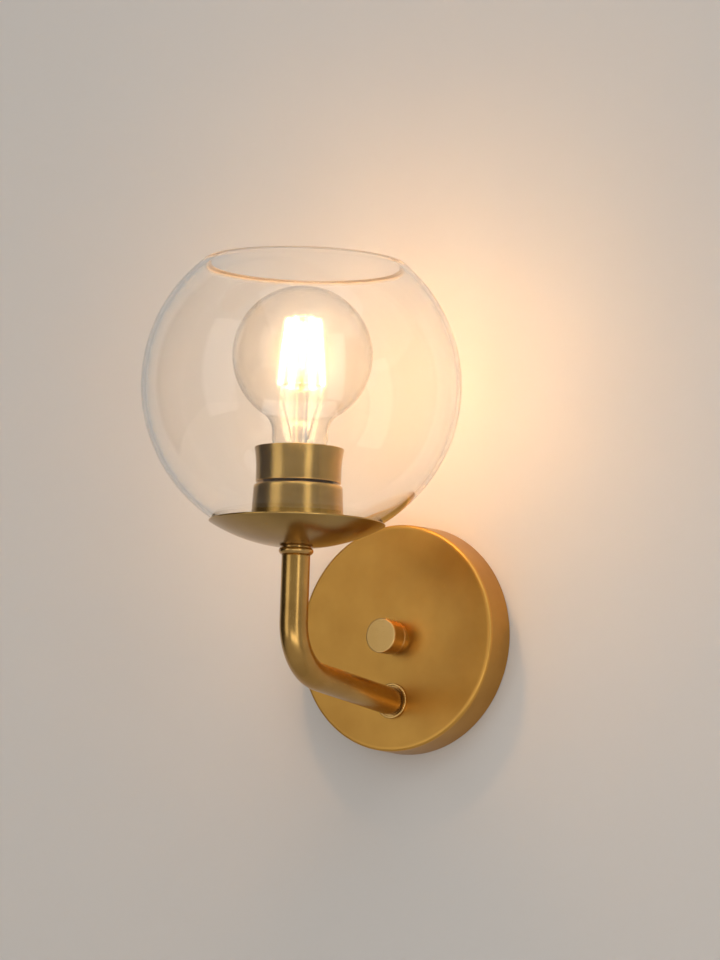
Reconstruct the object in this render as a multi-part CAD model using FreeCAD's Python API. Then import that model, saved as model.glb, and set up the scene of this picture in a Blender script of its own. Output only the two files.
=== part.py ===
import FreeCAD, Part
import math
import os
from FreeCAD import Vector

# Globe wall sconce: a round backplate on the wall, a bent tube arm, a shallow dish
# that carries an open clear glass globe, and a screw lamp standing inside the globe.
# Millimetres. The wall is the plane y = 0, the room is on the -Y side, +Z is up, and
# the origin is the middle of the backplate's back.

# ---- Clearances ----
SEAT_GAP = 0.05        # between pieces that are fastened together
RUN_GAP = 0.06         # radial, where a threaded piece turns on another
TURN_GAP = 0.15        # along the axis, under a piece that turns
SCREW_FIT_GAP = 0.35   # between the lamp's rolled thread and the lampholder's

# ---- Backplate and its fixing ----
CANOPY_D = 132.0          # at the wall
CANOPY_FRONT_D = 130.8    # at the front edge
CANOPY_DEPTH = 19.5
CANOPY_WALL = 1.0
CANOPY_EDGE_R = 1.4
BAR_LENGTH = 106.0
BAR_WIDTH = 19.0
BAR_THICKNESS = 1.6
SLOT_SPACING = 79.4       # between the middles of the two slots
SLOT_LENGTH = 15.0
SLOT_WIDTH = 4.8
STUD_D = 6.0
STUD_HOLE_GAP = 0.5       # radial, where the stud passes through sheet metal
STUD_NUT_FLATS = 10.0
STUD_NUT_HEIGHT = 3.0
COLLAR_D = 18.4
COLLAR_HEIGHT = 3.0
COLLAR_CHAMFER = 0.4
KNOB_D = 20.0
KNOB_LENGTH = 10.5
KNOB_CHAMFER = 0.5
KNOB_NECK_D = 15.2
KNOB_NECK_HEIGHT = 1.0
KNOB_BORE_DEPTH = 9.5
STUD_END_GAP = 0.5        # between the stud's end and the bottom of the knob's bore
GROUND_X = 24.0
GROUND_SHANK_D = 4.0
GROUND_HEAD_D = 8.4
GROUND_HEAD_HEIGHT = 2.2
GROUND_SLOT_WIDTH = 1.0

# ---- Arm ----
FOOT_TO_EDGE = 29.5       # arm foot above the lower edge of the backplate
ARM_OUT = 121.4           # upright's axis from the wall
ARM_HEIGHT = 73.7         # top end of the tube above its foot
ARM_RISE_DEG = 6.0        # slope of the long straight run
TUBE_D = 16.0
TUBE_WALL = 1.0
FOOT_STUB = 5.0           # straight start of the tube, square to the backplate
FOOT_BEND_R = 25.0
ELBOW_R = 29.0
NIPPLE_D = 10.0
NIPPLE_BORE_D = 8.0
RING_D = 20.4
RING_HEIGHT = 2.0
RING_RECESS_D = 17.8
RING_RECESS_DEPTH = 1.2
RING_CHAMFER = 0.5
FOOT_BUSH_LENGTH = 4.5
TOP_BUSH_LENGTH = 8.0
LOCK_WASHER_D = 18.0
LOCK_WASHER_HEIGHT = 1.0
LOCK_NUT_FLATS = 15.0
LOCK_NUT_HEIGHT = 3.0
NUT_CHAMFER = 0.6
NIPPLE_TAIL = 2.0         # thread that shows past a lock nut
BEAD_D = 19.5
BEAD_HEIGHT = 3.6
BEAD_FOOT_D = 17.0
BEAD_TOP_D = 17.8
BEAD_NECK_D = 16.4
BEAD_NECK_HEIGHT = 0.7

# ---- Dish and glass ----
GLOBE_D = 180.0
GLOBE_WALL = 2.8
GLOBE_MOUTH_RISE = 69.6   # ground top edge above the globe's centre
GLASS_HOLE_D = 42.0
DISH_D = 99.2
DISH_R = 96.0             # of its hollow, on the outside
DISH_THICKNESS = 1.0
DISH_SEAT_D = 19.2
DISH_WASHER_D = 17.6
GASKET_THICKNESS = 0.5    # at its inner edge
GASKET_INNER_D = 47.0
GASKET_OUTER_D = 66.0
TOP_GASKET_EDGE = 0.8     # thickness at its outer edge
TOP_GASKET_LIP = 0.4      # how far it stands out past the cup
TOP_GASKET_HOLE_GAP = 0.7

# ---- Cups round the lampholder ----
LOWER_CUP_BASE_D = 52.4
LOWER_CUP_TOP_D = 49.8
LOWER_CUP_HEIGHT = 25.9
LOWER_CUP_EDGE_R = 1.5
CUP_WALL = 1.2
CUP_WEB = 3.0
CUP_SPACE = 1.2           # groove between the two cups
UPPER_CUP_BASE_D = 47.9
UPPER_CUP_RIM_D = 50.4
UPPER_CUP_HEIGHT = 19.6
UPPER_CUP_CHAMFER = 0.5
UPPER_CUP_FLARE = 13.0    # height of the flared upper part

# ---- Lampholder ----
SOCKET_D = 38.8
SOCKET_WALL = 2.0
SOCKET_CAP_FLOOR = 3.0
SOCKET_CAP_HEIGHT = 10.8
SOCKET_BELOW_RIM = 3.4    # top of the lampholder below the upper cup's rim
SOCKET_FLOOR_DEPTH = 26.0 # from its top down to the floor of the screw shell
SOCKET_FLOOR = 2.3
SHELL_D = 29.0
SHELL_BASE = 0.5
SHELL_HOLE_D = 14.0
SHELL_BELOW_TOP = 2.0
CONTACT_D = 9.0
CONTACT_THICKNESS = 0.6
CONTACT_RISE = 1.5        # underside of the contact disc above the floor
CONTACT_STEM_D = 3.0
TERMINAL_STRIP = 1.0
TERMINAL_HEIGHT = 5.4
TERMINAL_INNER_X = 8.5
TERMINAL_OUTER_X = 13.5
TERMINAL_WIDTH = 6.0
TERMINAL_SCREW_D = 3.0
TERMINAL_HEAD_D = 5.0
TERMINAL_HEAD_HEIGHT = 1.8
TERMINAL_SCREW_LENGTH = 3.5
RIVET_D = 2.4

# ---- Lamp ----
LAMP_D = 79.0
LAMP_LENGTH = 119.2
LAMP_WALL = 0.9
LAMP_NECK_D = 31.4
LAMP_NECK_FILLET_R = 12.0
LAMP_NECK_STRAIGHT = 3.0
LAMP_CAP_D = 26.4         # top collar of the screw cap
LAMP_CAP_WALL = 0.45
LAMP_CAP_TOP = 25.8       # top of the screw cap above the end contact
LAMP_CAP_BASE = 4.5
LAMP_COLLAR_HEIGHT = 4.0
THREAD_PITCH = 3.6
THREAD_TURNS = 4
THREAD_MID_R = 12.7
THREAD_DEPTH = 0.8
THREAD_START = 6.3        # first thread ring above the end contact
END_CONTACT_D = 9.4
END_CONTACT_HEIGHT = 1.5
INSULATOR_TOP_D = 21.0
STEM_D = 8.4
STEM_FLARE_HEIGHT = 8.0
STEM_TOP = 57.0           # shoulder of the glass stem above the end contact
MAST_D = 2.6
MAST_TOP = 101.8
FILAMENT_COUNT = 6
FILAMENT_D = 2.2
FILAMENT_BOTTOM = 62.8    # above the end contact
FILAMENT_TOP = 100.3
FILAMENT_BOTTOM_R = 12.0
FILAMENT_TOP_R = 8.5
FILAMENT_SEAT = 0.15      # between a filament's end and the wire that holds it
LEAD_D = 0.9
LEAD_FOOT = 33.0
LEAD_TURN_DEG = 34.0
ANCHOR_D = 4.8
ANCHOR_HEIGHT = 1.4
SPOKE_D = 0.7
BOARD_WIDTH = 16.0
BOARD_THICKNESS = 1.2
BOARD_HEIGHT = 13.0
BOARD_FOOT = 6.5          # above the end contact
CAN_D = 6.4
CAN_HEIGHT = 6.5
CAN_RISE = 3.25           # can and its foot above the board's lower edge
CHIP_WIDTH = 5.4
CHIP_HEIGHT = 4.4

# ---- Wires ----
WIRE_D = 2.2
WIRE_OFFSET = 1.35        # each side of the middle of the arm
WIRE_BEND_R = 5.0
WIRE_TURN_DEPTH = 6.5     # from the wall, where the wires turn off behind the arm foot
SOCKET_WIRE_BEND_R = 3.0
SOCKET_WIRE_BELOW_STRIP = 2.7
CONNECTOR_X = 30.0
CONNECTOR_MOUTH_Z = -37.0
CONNECTOR_DEPTH = 9.5     # connector's axis from the wall
CONNECTOR_LENGTH = 22.0
CONNECTOR_MOUTH_D = 13.0
CONNECTOR_END_D = 8.6
CONNECTOR_BORE_D = 9.2
CONNECTOR_BORE_DEPTH = 15.0
WIRE_TIP_DEPTH = 14.0     # how far a wire reaches into its connector
WIRE_LOOP_Z = -51.0
GROUND_CONNECTOR_X = 2.0
GROUND_CONNECTOR_Z = 40.0

# ---- Values that follow from the sizes above ----
CANOPY_R = CANOPY_D / 2
CANOPY_FRONT_R = CANOPY_FRONT_D / 2
STUD_R = STUD_D / 2
NIPPLE_R = NIPPLE_D / 2
TUBE_R = TUBE_D / 2
SOCKET_R = SOCKET_D / 2
GLOBE_R = GLOBE_D / 2
GLOBE_INNER_R = GLOBE_R - GLOBE_WALL
CANOPY_INSIDE = CANOPY_DEPTH - CANOPY_WALL
FOOT_Z = FOOT_TO_EDGE - CANOPY_R
RING_FLOOR = CANOPY_DEPTH + RING_HEIGHT - RING_RECESS_DEPTH
TUBE_START = RING_FLOOR + SEAT_GAP
FOOT_NUT_FACE = CANOPY_INSIDE - LOCK_WASHER_HEIGHT - LOCK_NUT_HEIGHT
NIPPLE_START = FOOT_NUT_FACE - NIPPLE_TAIL
ARM_TOP_Z = FOOT_Z + ARM_HEIGHT
BEAD_TOP_Z = ARM_TOP_Z + BEAD_HEIGHT + BEAD_NECK_HEIGHT
DISH_INNER_R = DISH_R - DISH_THICKNESS
DISH_FLOOR_Z = BEAD_TOP_Z + DISH_THICKNESS
DISH_NUT_Z = DISH_FLOOR_Z + LOCK_WASHER_HEIGHT
SOCKET_Z = DISH_NUT_Z + LOCK_NUT_HEIGHT + SEAT_GAP
SOCKET_BODY_Z = SOCKET_Z + SOCKET_CAP_HEIGHT
TOP_NIPPLE_END_Z = SOCKET_Z + SOCKET_CAP_FLOOR + NIPPLE_TAIL


def sphere_height(radius, r):
    """Drop from a sphere's centre to its lower surface at distance r from the axis."""
    return math.sqrt(radius ** 2 - r ** 2)


DISH_Z = BEAD_TOP_Z + sphere_height(DISH_R, DISH_SEAT_D / 2)
GASKET_SPACE = GASKET_THICKNESS + 2 * SEAT_GAP
GASKET_FOOT_Z = DISH_Z - sphere_height(DISH_INNER_R, GASKET_INNER_D / 2)
GLOBE_Z = GASKET_FOOT_Z + GASKET_SPACE + sphere_height(GLOBE_R, GASKET_INNER_D / 2)
TOP_GASKET_R = LOWER_CUP_BASE_D / 2 + TOP_GASKET_LIP
TOP_GASKET_Z = GLOBE_Z - sphere_height(GLOBE_INNER_R, TOP_GASKET_R) + TOP_GASKET_EDGE
LOWER_CUP_Z = TOP_GASKET_Z + TURN_GAP
LOWER_CUP_TOP_Z = LOWER_CUP_Z + LOWER_CUP_HEIGHT
UPPER_CUP_Z = LOWER_CUP_TOP_Z + CUP_SPACE
UPPER_CUP_RIM_Z = UPPER_CUP_Z + UPPER_CUP_HEIGHT
SOCKET_TOP_Z = UPPER_CUP_RIM_Z - SOCKET_BELOW_RIM
SOCKET_FLOOR_Z = SOCKET_TOP_Z - SOCKET_FLOOR_DEPTH
SOCKET_CEILING_Z = SOCKET_FLOOR_Z - SOCKET_FLOOR
CONTACT_Z = SOCKET_FLOOR_Z + CONTACT_RISE
LAMP_Z = CONTACT_Z + CONTACT_THICKNESS + TURN_GAP
LAMP_R = LAMP_D / 2
LAMP_CENTRE_Z = LAMP_Z + LAMP_LENGTH - LAMP_R
TERMINAL_TOP_Z = SOCKET_CEILING_Z - TERMINAL_STRIP
TERMINAL_Z = TERMINAL_TOP_Z - TERMINAL_HEIGHT
TERMINAL_MID_X = (TERMINAL_INNER_X + TERMINAL_OUTER_X) / 2


# ---- Ways of making a piece ----
def profile(start, *steps):
    """Closed outline in the r-z plane. A step is a point, or (through, end) for an arc."""
    edges = []
    here = Vector(start[0], 0, start[1])
    first = here
    for step in steps:
        if isinstance(step[0], tuple):
            through, end = step
            there = Vector(end[0], 0, end[1])
            edges.append(Part.Arc(here, Vector(through[0], 0, through[1]), there).toShape())
        else:
            there = Vector(step[0], 0, step[1])
            edges.append(Part.makeLine(here, there))
        here = there
    edges.append(Part.makeLine(here, first))
    return Part.Wire(edges)


def turned(start, *steps):
    """Solid of revolution about the Z axis."""
    face = Part.Face(profile(start, *steps))
    return face.revolve(Vector(0, 0, 0), Vector(0, 0, 1), 360)


def sphere_point(radius, r, centre_z):
    """Point of a sphere's lower half at distance r from its axis."""
    return (r, centre_z - sphere_height(radius, r))


def on_wall_axis(shape, x=0.0, z=0.0):
    """Turn a piece made along +Z to stand out of the wall, along -Y, at x and z."""
    placed = shape.copy()
    placed.rotate(Vector(0, 0, 0), Vector(1, 0, 0), 90)
    placed.translate(Vector(x, 0, z))
    return placed


def on_upright(shape):
    """Move a piece made about the Z axis to the axis of the arm's upright."""
    placed = shape.copy()
    placed.translate(Vector(0, -ARM_OUT, 0))
    return placed


def ring(outer_r, inner_r, low, high):
    """Plain ring or sleeve about Z."""
    return turned((inner_r, low), (outer_r, low), (outer_r, high), (inner_r, high))


def hexagon_prism(flats, low, high):
    """Six-sided prism about Z, measured across its flats."""
    corner_r = flats / math.sqrt(3)
    corners = [
        Vector(corner_r * math.cos(math.radians(a)), corner_r * math.sin(math.radians(a)), low)
        for a in range(0, 361, 60)
    ]
    return Part.Face(Part.makePolygon(corners)).extrude(Vector(0, 0, high - low))


def hex_nut(flats, bore_r, low, high):
    """Hexagonal nut about Z with its corners turned off at both ends."""
    corner_r = flats / math.sqrt(3)
    blank = turned(
        (bore_r, low),
        (corner_r - NUT_CHAMFER, low),
        (corner_r, low + NUT_CHAMFER / 2),
        (corner_r, high - NUT_CHAMFER / 2),
        (corner_r - NUT_CHAMFER, high),
        (bore_r, high),
    )
    return blank.common(hexagon_prism(flats, low, high))


def rounded_route(points, radii):
    """Straight runs joined by tangent arcs; one radius for each inner point."""
    edges = []
    here = points[0]
    for before, corner, after, radius in zip(points, points[1:], points[2:], radii):
        back = (before - corner).normalize()
        ahead = (after - corner).normalize()
        half_turn = (math.pi - back.getAngle(ahead)) / 2
        reach = radius * math.tan(half_turn)
        inward = (back + ahead).normalize()
        middle = corner + inward * (radius / math.cos(half_turn) - radius)
        start = corner + back * reach
        end = corner + ahead * reach
        edges.append(Part.makeLine(here, start))
        edges.append(Part.Arc(start, middle, end).toShape())
        here = end
    edges.append(Part.makeLine(here, points[-1]))
    return Part.Wire(edges)


def rod_along(route, radius):
    """Round rod along a route."""
    start = route.Edges[0]
    heading = start.tangentAt(start.FirstParameter)
    circle = Part.makeCircle(radius, start.valueAt(start.FirstParameter), heading)
    return route.makePipeShell([Part.Wire([circle])], True, False)


def rod_between(start, end, radius):
    """Straight round rod from one point to another."""
    return Part.makeCylinder(radius, (end - start).Length, start, end - start)


# ---- Backplate and its fixing ----
def make_canopy():
    front = CANOPY_DEPTH
    straight_end = front - CANOPY_EDGE_R
    corner = (1 - math.sqrt(0.5)) * CANOPY_EDGE_R
    hole_r = STUD_R + STUD_HOLE_GAP
    shell = turned(
        (CANOPY_R, 0),
        (CANOPY_FRONT_R, straight_end),
        ((CANOPY_FRONT_R - corner, front - corner), (CANOPY_FRONT_R - CANOPY_EDGE_R, front)),
        (hole_r, front),
        (hole_r, CANOPY_INSIDE),
        (CANOPY_FRONT_R - CANOPY_EDGE_R, CANOPY_INSIDE),
        (CANOPY_FRONT_R - CANOPY_WALL, straight_end),
        (CANOPY_R - CANOPY_WALL, 0),
    )
    arm_hole = Part.makeCylinder(NIPPLE_R + SEAT_GAP, 2 * CANOPY_DEPTH, Vector(0, FOOT_Z, 0))
    return on_wall_axis(shell.cut(arm_hole))


def slot_cutter(x):
    half = (SLOT_LENGTH - SLOT_WIDTH) / 2
    low = -BAR_THICKNESS
    depth = 3 * BAR_THICKNESS
    middle = Part.makeBox(2 * half, SLOT_WIDTH, depth, Vector(x - half, -SLOT_WIDTH / 2, low))
    ends = [
        Part.makeCylinder(SLOT_WIDTH / 2, depth, Vector(x + side * half, 0, low))
        for side in (-1, 1)
    ]
    return middle.fuse(ends).removeSplitter()


def make_crossbar():
    end_r = BAR_WIDTH / 2
    straight = BAR_LENGTH / 2 - end_r
    bar = Part.makeBox(2 * straight, BAR_WIDTH, BAR_THICKNESS, Vector(-straight, -end_r, 0))
    rounds = [
        Part.makeCylinder(end_r, BAR_THICKNESS, Vector(side * straight, 0, 0))
        for side in (-1, 1)
    ]
    bar = bar.fuse(rounds).removeSplitter()
    cutters = [slot_cutter(side * SLOT_SPACING / 2) for side in (-1, 1)]
    cutters.append(Part.makeCylinder(STUD_R + SEAT_GAP, BAR_THICKNESS))
    ground_r = GROUND_SHANK_D / 2 + SEAT_GAP
    cutters.append(Part.makeCylinder(ground_r, BAR_THICKNESS, Vector(GROUND_X, 0, 0)))
    return on_wall_axis(bar.cut(cutters))


def make_ground_screw():
    shank_r = GROUND_SHANK_D / 2
    head_r = GROUND_HEAD_D / 2
    head_top = BAR_THICKNESS + GROUND_HEAD_HEIGHT
    screw = turned(
        (0, 0),
        (shank_r, 0),
        (shank_r, BAR_THICKNESS),
        (head_r, BAR_THICKNESS),
        (head_r, head_top - NUT_CHAMFER),
        (head_r - NUT_CHAMFER, head_top),
        (0, head_top),
    )
    slot = Part.makeBox(
        GROUND_HEAD_D, GROUND_SLOT_WIDTH, NUT_CHAMFER,
        Vector(-head_r, -GROUND_SLOT_WIDTH / 2, head_top - NUT_CHAMFER),
    )
    return on_wall_axis(screw.cut(slot), x=GROUND_X)


KNOB_FACE = CANOPY_DEPTH + COLLAR_HEIGHT + TURN_GAP
KNOB_END = KNOB_FACE + KNOB_NECK_HEIGHT + KNOB_LENGTH


def make_canopy_stud():
    stud_end = KNOB_FACE + KNOB_BORE_DEPTH - STUD_END_GAP
    tip = stud_end - NUT_CHAMFER
    stud = turned((0, 0), (STUD_R, 0), (STUD_R, tip), (STUD_R - NUT_CHAMFER, stud_end), (0, stud_end))
    return on_wall_axis(stud)


def make_stud_lock_nut():
    top = BAR_THICKNESS + STUD_NUT_HEIGHT
    return on_wall_axis(hex_nut(STUD_NUT_FLATS, STUD_R + SEAT_GAP, BAR_THICKNESS, top))


def make_knob_collar():
    top = CANOPY_DEPTH + COLLAR_HEIGHT
    outer_r = COLLAR_D / 2
    bore_r = STUD_R + STUD_HOLE_GAP
    collar = turned(
        (bore_r, CANOPY_DEPTH),
        (outer_r, CANOPY_DEPTH),
        (outer_r, top - COLLAR_CHAMFER),
        (outer_r - COLLAR_CHAMFER, top),
        (bore_r, top),
    )
    return on_wall_axis(collar)


def make_cap_knob():
    bore_r = STUD_R + RUN_GAP
    bore_end = KNOB_FACE + KNOB_BORE_DEPTH
    shoulder = KNOB_FACE + KNOB_NECK_HEIGHT
    knob_r = KNOB_D / 2
    knob = turned(
        (bore_r, KNOB_FACE),
        (KNOB_NECK_D / 2, KNOB_FACE),
        (KNOB_NECK_D / 2, shoulder),
        (knob_r - KNOB_CHAMFER, shoulder),
        (knob_r, shoulder + KNOB_CHAMFER),
        (knob_r, KNOB_END - KNOB_CHAMFER),
        (knob_r - KNOB_CHAMFER, KNOB_END),
        (0, KNOB_END),
        (0, bore_end),
        (bore_r, bore_end),
    )
    return on_wall_axis(knob)


# ---- Arm ----
def make_arm_foot_ring():
    top = CANOPY_DEPTH + RING_HEIGHT
    outer_r = RING_D / 2
    recess_r = RING_RECESS_D / 2
    bore_r = NIPPLE_R + SEAT_GAP
    foot_ring = turned(
        (bore_r, CANOPY_DEPTH),
        (outer_r, CANOPY_DEPTH),
        (outer_r, top - RING_CHAMFER),
        (outer_r - RING_CHAMFER, top),
        (recess_r, top),
        (recess_r, RING_FLOOR),
        (bore_r, RING_FLOOR),
    )
    return on_wall_axis(foot_ring, z=FOOT_Z)


def make_arm_nipple():
    end = TUBE_START + FOOT_BUSH_LENGTH
    return on_wall_axis(ring(NIPPLE_R, NIPPLE_BORE_D / 2, NIPPLE_START, end), z=FOOT_Z)


def make_arm_lock_washer():
    low = CANOPY_INSIDE - LOCK_WASHER_HEIGHT
    washer = ring(LOCK_WASHER_D / 2, NIPPLE_R + SEAT_GAP, low, CANOPY_INSIDE)
    return on_wall_axis(washer, z=FOOT_Z)


def make_arm_lock_nut():
    top = FOOT_NUT_FACE + LOCK_NUT_HEIGHT
    nut = hex_nut(LOCK_NUT_FLATS, NIPPLE_R + SEAT_GAP, FOOT_NUT_FACE, top)
    return on_wall_axis(nut, z=FOOT_Z)


def arm_points(x=0.0):
    """Foot, foot bend, elbow and top of the arm's centre line, moved sideways by x."""
    bend_y = -(TUBE_START + FOOT_STUB)
    elbow_z = FOOT_Z + (ARM_OUT + bend_y) * math.tan(math.radians(ARM_RISE_DEG))
    return [
        Vector(x, -TUBE_START, FOOT_Z),
        Vector(x, bend_y, FOOT_Z),
        Vector(x, -ARM_OUT, elbow_z),
        Vector(x, -ARM_OUT, ARM_TOP_Z),
    ]


def make_arm_tube():
    route = rounded_route(arm_points(), [FOOT_BEND_R, ELBOW_R])
    return rod_along(route, TUBE_R).cut(rod_along(route, TUBE_R - TUBE_WALL))


def make_arm_end_bushes():
    outer_r = TUBE_R - TUBE_WALL - SEAT_GAP
    inner_r = NIPPLE_R + SEAT_GAP
    foot = ring(outer_r, inner_r, TUBE_START, TUBE_START + FOOT_BUSH_LENGTH)
    top = ring(outer_r, inner_r, ARM_TOP_Z - TOP_BUSH_LENGTH, ARM_TOP_Z)
    return Part.makeCompound([on_wall_axis(foot, z=FOOT_Z), on_upright(top)])


def make_top_nipple():
    low = ARM_TOP_Z - TOP_BUSH_LENGTH
    return on_upright(ring(NIPPLE_R, NIPPLE_BORE_D / 2, low, TOP_NIPPLE_END_Z))


def make_bead_collar():
    bore_r = NIPPLE_R + SEAT_GAP
    bead_top = ARM_TOP_Z + BEAD_HEIGHT
    bead = turned(
        (bore_r, ARM_TOP_Z),
        (BEAD_FOOT_D / 2, ARM_TOP_Z),
        ((BEAD_D / 2, ARM_TOP_Z + BEAD_HEIGHT / 2), (BEAD_TOP_D / 2, bead_top)),
        (BEAD_NECK_D / 2, bead_top),
        (BEAD_NECK_D / 2, BEAD_TOP_Z),
        (bore_r, BEAD_TOP_Z),
    )
    return on_upright(bead)


# ---- Dish and glass ----
def make_glass_dish():
    seat_r = DISH_SEAT_D / 2
    rim_r = DISH_D / 2
    inner_rim_r = rim_r * DISH_INNER_R / DISH_R
    floor_r = math.sqrt(DISH_INNER_R ** 2 - (DISH_Z - DISH_FLOOR_Z) ** 2)
    hole_r = NIPPLE_R + SEAT_GAP
    mid_r = (seat_r + rim_r) / 2
    under = [sphere_point(DISH_R, r, DISH_Z) for r in (mid_r, rim_r)]
    over = [sphere_point(DISH_INNER_R, r, DISH_Z) for r in (inner_rim_r, mid_r)]
    dish = turned(
        (hole_r, BEAD_TOP_Z),
        (seat_r, BEAD_TOP_Z),
        (under[0], under[1]),
        over[0],
        (over[1], (floor_r, DISH_FLOOR_Z)),
        (hole_r, DISH_FLOOR_Z),
    )
    return on_upright(dish)


def make_dish_washer():
    washer = ring(DISH_WASHER_D / 2, NIPPLE_R + SEAT_GAP, DISH_FLOOR_Z, DISH_NUT_Z)
    return on_upright(washer)


def make_dish_lock_nut():
    top = DISH_NUT_Z + LOCK_NUT_HEIGHT
    return on_upright(hex_nut(LOCK_NUT_FLATS, NIPPLE_R + SEAT_GAP, DISH_NUT_Z, top))


def make_lower_gasket():
    inner_r = GASKET_INNER_D / 2
    outer_r = GASKET_OUTER_D / 2
    mid_r = (inner_r + outer_r) / 2
    under = [sphere_point(DISH_INNER_R - SEAT_GAP, r, DISH_Z) for r in (inner_r, mid_r, outer_r)]
    over = [sphere_point(GLOBE_R + SEAT_GAP, r, GLOBE_Z) for r in (outer_r, mid_r, inner_r)]
    gasket = turned(under[0], (under[1], under[2]), over[0], (over[1], over[2]))
    return on_upright(gasket)


def make_glass_globe():
    hole_r = GLASS_HOLE_D / 2
    mouth_z = GLOBE_Z + GLOBE_MOUTH_RISE
    inner_mouth_r = sphere_height(GLOBE_INNER_R, GLOBE_MOUTH_RISE)
    outer_mouth_r = sphere_height(GLOBE_R, GLOBE_MOUTH_RISE)
    glass = turned(
        sphere_point(GLOBE_INNER_R, hole_r, GLOBE_Z),
        ((GLOBE_INNER_R, GLOBE_Z), (inner_mouth_r, mouth_z)),
        (outer_mouth_r, mouth_z),
        ((GLOBE_R, GLOBE_Z), sphere_point(GLOBE_R, hole_r, GLOBE_Z)),
    )
    return on_upright(glass)


def make_upper_gasket():
    inner_r = GLASS_HOLE_D / 2 + TOP_GASKET_HOLE_GAP
    mid_r = (inner_r + TOP_GASKET_R) / 2
    under = [
        sphere_point(GLOBE_INNER_R - SEAT_GAP, r, GLOBE_Z) for r in (inner_r, mid_r, TOP_GASKET_R)
    ]
    gasket = turned(
        under[0],
        (under[1], under[2]),
        (TOP_GASKET_R, TOP_GASKET_Z),
        (inner_r, TOP_GASKET_Z),
    )
    return on_upright(gasket)


# ---- Cups ----
def make_glass_retaining_cup():
    base_r = LOWER_CUP_BASE_D / 2
    top_r = LOWER_CUP_TOP_D / 2
    edge_z = LOWER_CUP_TOP_Z - LOWER_CUP_EDGE_R
    corner = (1 - math.sqrt(0.5)) * LOWER_CUP_EDGE_R
    web_z = LOWER_CUP_TOP_Z - CUP_WEB
    bore_r = SOCKET_R + RUN_GAP
    cup = turned(
        (base_r - CUP_WALL, LOWER_CUP_Z),
        (base_r, LOWER_CUP_Z),
        (top_r, edge_z),
        ((top_r - corner, LOWER_CUP_TOP_Z - corner), (top_r - LOWER_CUP_EDGE_R, LOWER_CUP_TOP_Z)),
        (bore_r, LOWER_CUP_TOP_Z),
        (bore_r, web_z),
        (top_r - CUP_WALL, web_z),
    )
    return on_upright(cup)


def flare_point(offset, share):
    """Point of the upper cup's flared side, moved inwards by offset."""
    base_r = UPPER_CUP_BASE_D / 2
    rim_r = UPPER_CUP_RIM_D / 2
    r = base_r + (rim_r - base_r) * share ** 2 - offset
    return (r, UPPER_CUP_RIM_Z - UPPER_CUP_FLARE * (1 - share))


def make_socket_shroud_cup():
    base_r = UPPER_CUP_BASE_D / 2
    bore_r = SOCKET_R + RUN_GAP
    web_z = UPPER_CUP_Z + CUP_WEB
    cup = turned(
        (bore_r, UPPER_CUP_Z),
        (base_r - UPPER_CUP_CHAMFER, UPPER_CUP_Z),
        (base_r, UPPER_CUP_Z + UPPER_CUP_CHAMFER),
        flare_point(0, 0),
        (flare_point(0, 0.5), flare_point(0, 1)),
        flare_point(CUP_WALL, 1),
        (flare_point(CUP_WALL, 0.5), flare_point(CUP_WALL, 0)),
        (base_r - CUP_WALL, web_z),
        (bore_r, web_z),
    )
    return on_upright(cup)


# ---- Lampholder ----
def make_socket_cap():
    inner_r = SOCKET_R - SOCKET_WALL
    bore_r = NIPPLE_R + SEAT_GAP
    floor_z = SOCKET_Z + SOCKET_CAP_FLOOR
    cap = turned(
        (bore_r, SOCKET_Z),
        (SOCKET_R, SOCKET_Z),
        (SOCKET_R, SOCKET_BODY_Z),
        (inner_r, SOCKET_BODY_Z),
        (inner_r, floor_z),
        (bore_r, floor_z),
    )
    return on_upright(cap)


def make_socket_body():
    recess_r = SOCKET_R - SOCKET_WALL
    bore_r = SHELL_D / 2 + SEAT_GAP
    body = turned(
        (0, SOCKET_CEILING_Z),
        (recess_r, SOCKET_CEILING_Z),
        (recess_r, SOCKET_BODY_Z),
        (SOCKET_R, SOCKET_BODY_Z),
        (SOCKET_R, SOCKET_TOP_Z),
        (bore_r, SOCKET_TOP_Z),
        (bore_r, SOCKET_FLOOR_Z),
        (0, SOCKET_FLOOR_Z),
    )
    stem_hole = Part.makeCylinder(
        CONTACT_STEM_D / 2 + SEAT_GAP, SOCKET_FLOOR, Vector(0, 0, SOCKET_CEILING_Z)
    )
    rivet_hole = Part.makeCylinder(
        RIVET_D / 2 + SEAT_GAP, SOCKET_FLOOR, Vector(-TERMINAL_MID_X, 0, SOCKET_CEILING_Z)
    )
    return on_upright(body.cut([stem_hole, rivet_hole]))


def rolled_thread(low_z, offset):
    """Arc steps up a rolled thread, as rings, with its surface moved out by offset."""
    steps = []
    half_depth = THREAD_DEPTH / 2
    mid_r = THREAD_MID_R + offset
    for turn in range(THREAD_TURNS):
        z = low_z + turn * THREAD_PITCH
        half_way = (mid_r, z + THREAD_PITCH / 2)
        steps.append(((mid_r + half_depth, z + THREAD_PITCH / 4), half_way))
        steps.append(((mid_r - half_depth, z + THREAD_PITCH * 3 / 4), (mid_r, z + THREAD_PITCH)))
    return steps


THREAD_Z = LAMP_Z + THREAD_START


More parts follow.
